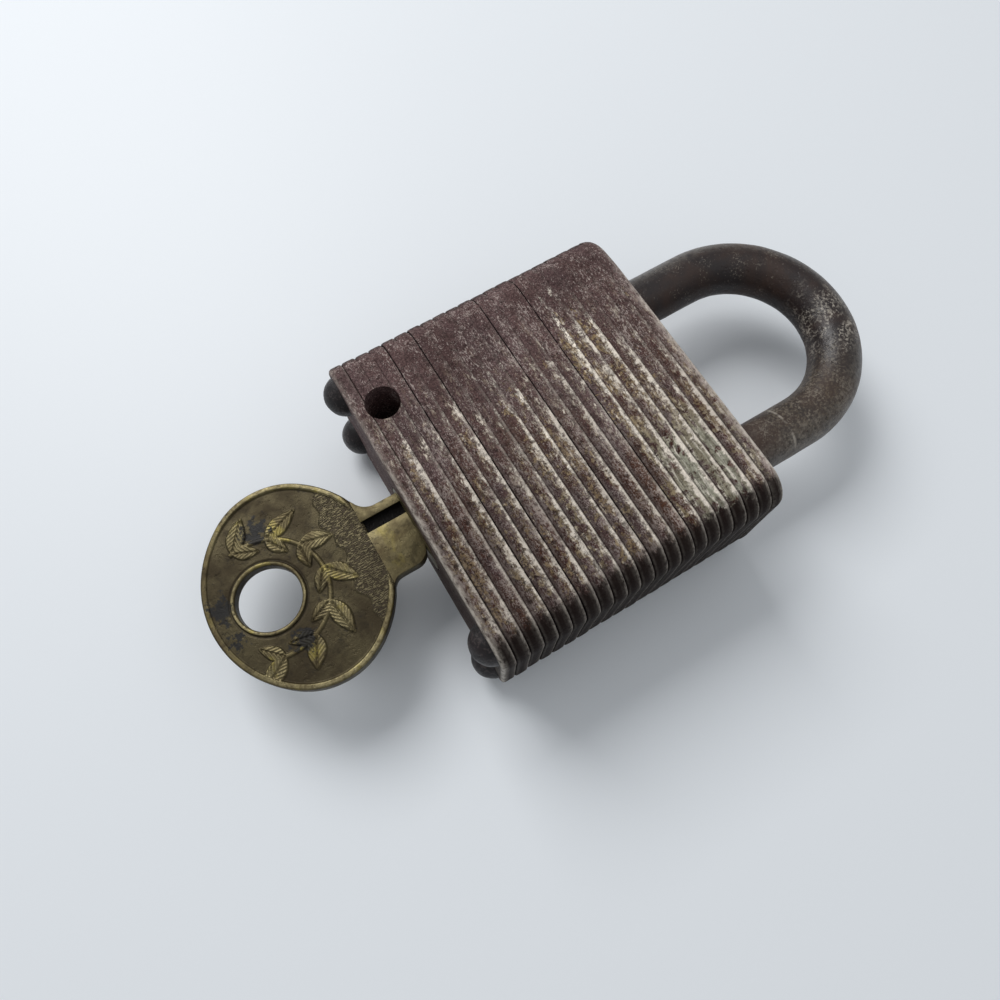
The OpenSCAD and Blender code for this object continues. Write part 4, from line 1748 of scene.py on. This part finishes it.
    def section(self, step: int, reach: float, angle: float) -> tuple[float, float, float, float]:
        """Works out one point of the bow's section in a direction.

        Args:
            step: Place along the closed section: over the front, down the outer wall, back under
                and up the hole's wall.
            reach: Distance of the outline from the hole's centre.
            angle: The direction.

        Returns:
            Distance from the hole's centre, Z, how high the relief is from 0 to 1 (kept low on the
            walls, where the finish paints shade), and how much of the hatched band is there.
        """
        step %= self.section_steps()
        tall = self.high_z - self.low_z - 2 * self.edge
        inner, outer = self.hole_radius, reach
        wall = step - self.front_steps
        back = wall - self.wall_steps
        front = wall <= 0
        if front:
            share = step / self.front_steps
        elif back < 0:
            # Painted shade: the outer wall gets a low relief of 0.3 so that the finish colours it
            # dark.
            return outer, self.high_z - self.edge - wall / self.wall_steps * tall, 0.3, 0.0
        elif back <= self.back_steps:
            share = 1 - back / self.back_steps
        else:
            part = (back - self.back_steps) / self.wall_steps
            # Painted shade: the hole's wall gets a low relief of 0.25 so that the finish colours it
            # dark.
            return inner, self.low_z + self.edge + part * tall, 0.25, 0.0
        radius = inner + share * (outer - inner)
        depth, band = self.ornament(*self.place(radius, angle), radius - inner, front)
        for gap in (outer - radius, radius - inner):
            if gap < self.edge:
                depth += self.edge - math.sqrt(max(0.0, self.edge ** 2 - (self.edge - gap) ** 2))
        z = self.high_z - depth if front else self.low_z + depth
        return radius, z, 1 - min(1.0, depth / (1.4 * self.sunk)), band

    def section_steps(self) -> int:
        """Returns how many steps the bow's closed section has."""
        return self.front_steps + self.back_steps + 2 * self.wall_steps

    def bow(self) -> Shape:
        """Wraps a grid round the hole and round the bow's own section.

        Returns:
            The closed bow.
        """
        shape = bmesh.new()
        total = self.section_steps()
        bmesh.ops.create_grid(shape, x_segments=self.around, y_segments=total, size=0.5)
        layers = [shape.verts.layers.float.new(name) for name in ("grime_and_shade", "wear", "band")]
        angles = [column / self.around * math.tau for column in range(self.around + 1)]
        reaches = [self.outline_radius(angle) for angle in angles]
        for vert in shape.verts:
            column = round((vert.co.x + 0.5) * self.around)
            step = round((vert.co.y + 0.5) * total)
            radius, z, high, band = self.section(step, reaches[column], angles[column])
            vert.co = Vector((*self.place(radius, angles[column]), z))
            for layer, value in zip(layers, (1.0 - high, smooth(0.72, 1.0, high), band)):
                vert[layer] = value
        bmesh.ops.remove_doubles(shape, verts=shape.verts, dist=WELD)
        return shape

    def fillet(self, edge: float, radius: float, side: int) -> list[Vector]:
        """Draws the arc that joins the bow to a straight edge, from the bow up to the edge.

        Args:
            edge: X of the straight edge.
            radius: The arc's radius.
            side: -1 on the spine's side, 1 on the other.

        Returns:
            Its points above the neck's foot, measured from the stop.
        """
        arc = self.bow_length / 2 + self.end_shift
        away_x = edge + side * radius - self.bow_x
        away_y = math.sqrt((arc + radius) ** 2 - away_x ** 2)
        centre = Vector((edge + side * radius, away_y - self.bow_y - self.end_shift))
        last = math.atan2(away_y, abs(away_x))
        points = [centre + radius * Vector((-side * math.cos(turn), -math.sin(turn)))
                  for turn in (last * (1 - k / 8) for k in range(9))]
        return [point for point in points if point.y > -self.neck]

    def blade_outline(self) -> list[Vector]:
        """Draws the outline of the neck and blade.

        Returns:
            Its points, measured from the stop.
        """
        left, right, stop = -self.spine, self.blade_width - self.spine, self.stop_width - self.spine
        tip = self.blade_width * 0.28
        shoulder = stop - right
        spine_side = self.fillet(left, 2.6 * MM, -1)
        stop_side = self.fillet(stop, 1.5 * MM, 1)
        turns = [k / 6 * math.pi / 2 for k in range(1, 7)]
        return [Vector((spine_side[0].x - 0.55 * MM, -self.neck)), *spine_side,
                Vector((left, self.blade_length - tip / 2)),
                Vector((left + tip / 2, self.blade_length)),
                Vector((right - tip, self.blade_length)), *self.cut_edge(right, tip),
                Vector((right, 0.0)),
                *(Vector((right + shoulder * math.sin(turn),
                          -shoulder + shoulder * math.cos(turn))) for turn in turns),
                *stop_side[::-1], Vector((stop_side[0].x + 0.1 * MM, -self.neck))]

    def cut_edge(self, right: float, tip: float) -> list[Vector]:
        """Draws the cut edge of the blade, from its tip down to the first cut.

        Args:
            right: X of the uncut edge.
            tip: Size of the tip's corner.

        Returns:
            Its points, measured from the stop.
        """
        depths = [self.cut_least + self.cut_step * cut for cut in self.cuts]
        places = [self.cut_first + k * self.cut_pitch for k in range(len(self.cuts))]
        half = self.cut_root / 2
        last = (depths[-1] + places[-1] + half - self.blade_length + tip) / 2
        points = [Vector((right - last, self.blade_length - tip + last))]
        for k in reversed(range(len(self.cuts))):
            points += [Vector((right - depths[k], places[k] + half)),
                       Vector((right - depths[k], places[k] - half))]
            if k:
                peak = (depths[k] + depths[k - 1] + self.cut_root - self.cut_pitch) / 2
                points.append(Vector((right - peak, places[k] - half - depths[k] + peak)))
        return points + [Vector((right, places[0] - half - depths[0]))]

    def blade(self) -> Shape:
        """Makes the neck and blade, with the milled groove along its front.

        Returns:
            The closed blade.
        """
        part = bmesh.new()
        face = part.faces.new([part.verts.new((point.x, self.stop_y + point.y, self.low_z))
                               for point in self.blade_outline()])
        if face.normal.z > 0:
            face.normal_flip()
        for x in self.groove:
            bmesh.ops.bisect_plane(part, geom=part.verts[:] + part.edges[:] + part.faces[:],
                                   plane_co=(x, 0, 0), plane_no=(1, 0, 0), dist=1e-7)
        self.raise_faces(part, part.faces[:], self.high_z - self.low_z, keep=True)
        bmesh.ops.recalc_face_normals(part, faces=part.faces)
        middle = sum(self.groove) / 2
        floor = [item for item in part.faces if item.normal.z > 0.9
                 and abs(item.calc_center_median().x - middle) < MM]
        self.raise_faces(part, floor, -self.groove_depth, keep=False)
        bmesh.ops.delete(part, geom=floor, context="FACES_ONLY")
        sharp = [edge for edge in part.edges if len(edge.link_faces) == 2
                 and edge.calc_face_angle(0) > 1.2]
        bmesh.ops.bevel(part, geom=sharp, offset=self.blade_bevel, affect="EDGES", segments=2,
                        profile=0.5, material=-1, clamp_overlap=True)
        return part

    def raise_faces(self, part: Shape, faces: list[bmesh.types.BMFace], lift: float,
                    keep: bool) -> None:
        """Extrudes faces along Z.

        Args:
            part: Their bmesh.
            faces: The faces.
            lift: How far they go up.
            keep: Whether the old faces stay as the other side of a solid.
        """
        grown = bmesh.ops.extrude_face_region(part, geom=faces, use_keep_orig=keep)["geom"]
        bmesh.ops.translate(part, verts=[item for item in grown if isinstance(item, Vert)],
                            vec=(0, 0, lift))

    def add_blade(self, shape: Shape) -> None:
        """Adds the blade to the bow, with what the finish reads from it.

        Args:
            shape: The bow's bmesh.
        """
        grime_and_shade = shape.verts.layers.float["grime_and_shade"]
        wear = shape.verts.layers.float["wear"]
        mesh = bpy.data.meshes.new("blade_part")
        part = self.blade()
        part.to_mesh(mesh)
        part.free()
        before = set(shape.verts)
        shape.from_mesh(mesh)
        bpy.data.meshes.remove(mesh)
        slack = 0.02 * MM
        for vert in set(shape.verts) - before:
            milled = (self.groove[0] - slack < vert.co.x < self.groove[1] + slack
                      and vert.co.z > self.low_z + 0.2 * MM)
            top = vert.co.z > self.high_z - self.blade_bevel - 0.01 * MM
            # Painted shade: the blade's sides get 0.75 and the milled groove 2.0, so that the
            # finish colours the sides dark and the groove near-black; the top gets 0.38.
            vert[grime_and_shade] = 0.38 if top else (2.0 if milled else 0.75)
            vert[wear] = 0.12 if top else 0.0


@dataclass(frozen=True)
class Coil:
    """One coil spring: a round wire wound in the room of its CAD node."""

    name: str
    node: str
    axis: int
    wire: float
    turns: int
    sides: int = 10
    steps: int = 24
    crease: float = 50.0

    def build(self, material: bpy.types.Material) -> Piece:
        """Winds the wire and settles the coil on the body.

        Args:
            material: Its finish.

        Returns:
            The coil.
        """
        low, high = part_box(self.node)
        along, across = Vector(), Vector((0, 0, 1))
        along[self.axis] = 1.0
        radius = (high.z - low.z) / 2 - self.wire
        start = (low + high) / 2
        start[self.axis] = low[self.axis] + self.wire
        length = high[self.axis] - low[self.axis] - 2 * self.wire
        count = self.turns * self.steps
        facing = Matrix((across, along, across.cross(along))).transposed().to_4x4()
        shape = bmesh.new()
        bmesh.ops.create_circle(shape, segments=self.sides, radius=self.wire,
                                matrix=Matrix.Translation(start + across * radius) @ facing)
        bmesh.ops.spin(shape, geom=shape.verts[:] + shape.edges[:], cent=start, axis=along,
                       dvec=along * length / count, angle=math.tau * self.turns, steps=count,
                       use_merge=False, use_duplicate=False)
        bmesh.ops.holes_fill(shape, edges=shape.edges[:], sides=0)
        piece = finish_mesh(shape, self.name, material)
        keep_creases(piece, self.crease)
        return settle(piece, Body.BODY, Slot.INNER, self.node)


@dataclass
class Springs:
    """The springs inside the lock. The real lever spring shortens as the levers draw in; here it
    only gets a mesh of its own.
    """

    draw: float = 2.0 * MM
    pins: int = 4

    def build(self, material: bpy.types.Material) -> None:
        """Winds every spring.

        Args:
            material: Their finish.
        """
        Coil("shackle_coil", "shackle_spring", 1, 0.45 * MM, 5).build(material)
        for k in range(1, self.pins + 1):
            Coil(f"pin_coil_{k}", f"pin_spring_{k}", 0, 0.2 * MM, 5).build(material)
        coil = Coil("lever_coil", "lever_spring", 0, 0.22 * MM, 8).build(material)
        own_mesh(coil)


# ---------------------------------------------------------------- stage


@dataclass(frozen=True)
class Lamp:
    """A square lamp that faces the lock: its place and side in metres, its power in watts."""

    name: str
    place: Point
    size: float
    power: float

    def build(self) -> None:
        """Adds the lamp."""
        data = bpy.data.lights.new(self.name, "AREA")
        data.shape = "SQUARE"
        data.size = self.size
        data.energy = self.power
        lamp = bpy.data.objects.new(self.name, data)
        bpy.context.scene.collection.objects.link(lamp)
        lamp.location = self.place
        lamp.rotation_euler = (-Vector(self.place)).to_track_quat("-Z", "Y").to_euler()


@dataclass(frozen=True)
class Studio:
    """A pale table under a broad soft light, and the camera that looks down on the lock."""

    camera_place: Point = (30.36 * MM, -25.52 * MM, 103.54 * MM)
    camera_turn: Point = (19.42, -0.10, 59.13)
    lens: float = 27.04
    sensor: float = 36.0
    table: Colour = paint(230, 234, 238)
    table_half: float = 1.5
    sky: Colour = (0.93, 0.965, 1.0)
    ambient: float = 0.36
    lamps: tuple[Lamp, ...] = (Lamp("window", (-0.42, -0.06, 0.46), 0.34, 2.6),
                               Lamp("fill", (0.10, 0.20, 0.60), 0.70, 0.65))

    def build(self) -> None:
        """Makes the table, the world, the lamps and the camera."""
        self.add_table()
        self.add_world()
        for lamp in self.lamps:
            lamp.build()
        self.add_camera()

    def add_table(self) -> None:
        """Makes the pale table, which isn't part of the object."""
        shape = bmesh.new()
        bmesh.ops.create_grid(shape, x_segments=1, y_segments=1, size=self.table_half)
        table = add_object(shape, "table")
        material, _, _, shader = start_material("table")
        shader.inputs["Base Color"].default_value = (*self.table, 1.0)
        shader.inputs["Roughness"].default_value = 0.5
        shader.inputs["Specular IOR Level"].default_value = 0.3
        table.data.materials.append(material)

    def add_world(self) -> None:
        """Lights everything softly from all round."""
        world = bpy.data.worlds.new("soft_room")
        bpy.context.scene.world = world
        world.use_nodes = True
        backdrop = world.node_tree.nodes["Background"]
        backdrop.inputs["Color"].default_value = (*self.sky, 1.0)
        backdrop.inputs["Strength"].default_value = self.ambient

    def add_camera(self) -> None:
        """Adds the camera."""
        data = bpy.data.cameras.new("camera")
        data.lens = self.lens
        data.sensor_width = self.sensor
        data.clip_start = 10 * MM
        camera = bpy.data.objects.new("camera", data)
        bpy.context.scene.collection.objects.link(camera)
        camera.location = self.camera_place
        camera.rotation_euler = tuple(math.radians(turn) for turn in self.camera_turn)
        bpy.context.scene.camera = camera


def dress_inner_pieces(brass: bpy.types.Material, steel: bpy.types.Material) -> None:
    """Gives every CAD piece that stays its finish.

    Args:
        brass: The finish of the plug, its shell and the key pins.
        steel: The finish of the others.
    """
    brass_names = ("cylinder_shell", "plug", "key_pin")
    for name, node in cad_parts.items():
        if node.hide_render:
            continue
        is_brass = name.startswith(brass_names) and name != "plug_clip"
        node.data.materials.clear()
        node.data.materials.append(brass if is_brass else steel)
        LOG.info("%s keeps its CAD shape", name)


def main() -> None:
    """Builds the padlock, its finishes, the light and the camera."""
    logging.basicConfig(level=logging.INFO, format="%(name)s: %(message)s")
    bpy.context.scene.view_settings.view_transform = "Standard"
    effects = make_effects()
    stack = PlateStack()
    plate_finish = PlateFinish(stack.pitch, stack.low.y, stack.high.z, stack.high.y)
    stack.build(plate_finish.make(effects))

    rivet_finish = SteelFinish("dark_rivet", paint(34, 27, 28), paint(20, 16, 17),
                               paint(92, 82, 80), metallic=0.0, roughness=0.36, gloss=0.35,
                               depth=0.12 * MM)
    Rivets().build(stack, rivet_finish.make(effects))

    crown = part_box("shackle")[1]
    shackle_finish = ShackleFinish(
        rub_centre=(3.8 * MM, crown.y - 5.6 * MM, crown.z),
        toe_centre=(12.6 * MM, stack.high.y + 13.0 * MM, crown.z),
        ring_y=stack.high.y + 8.6 * MM)
    Shackle().build(stack, shackle_finish.make(effects))

    stains = ((-9.75, -18.0, 1.9), (5.75, -18.5, 1.7), (-2.6, -25.9, 1.8), (1.6, -25.6, 1.0))
    stains = tuple((x * MM, stack.low.y + y * MM, reach * MM) for x, y, reach in stains)
    Key().build(BrassFinish("key_brass", stains).make(effects))

    steel_finish = SteelFinish("clean_steel", paint(150, 150, 148), paint(120, 118, 114),
                               paint(90, 84, 78), metallic=0.85, roughness=0.32, gloss=0.5,
                               depth=0.03 * MM)
    steel = steel_finish.make(effects)
    Springs().build(steel)
    dress_inner_pieces(BrassFinish("plug_brass").make(effects), steel)
    Studio().build()


if __name__ == "__main__":
    main()
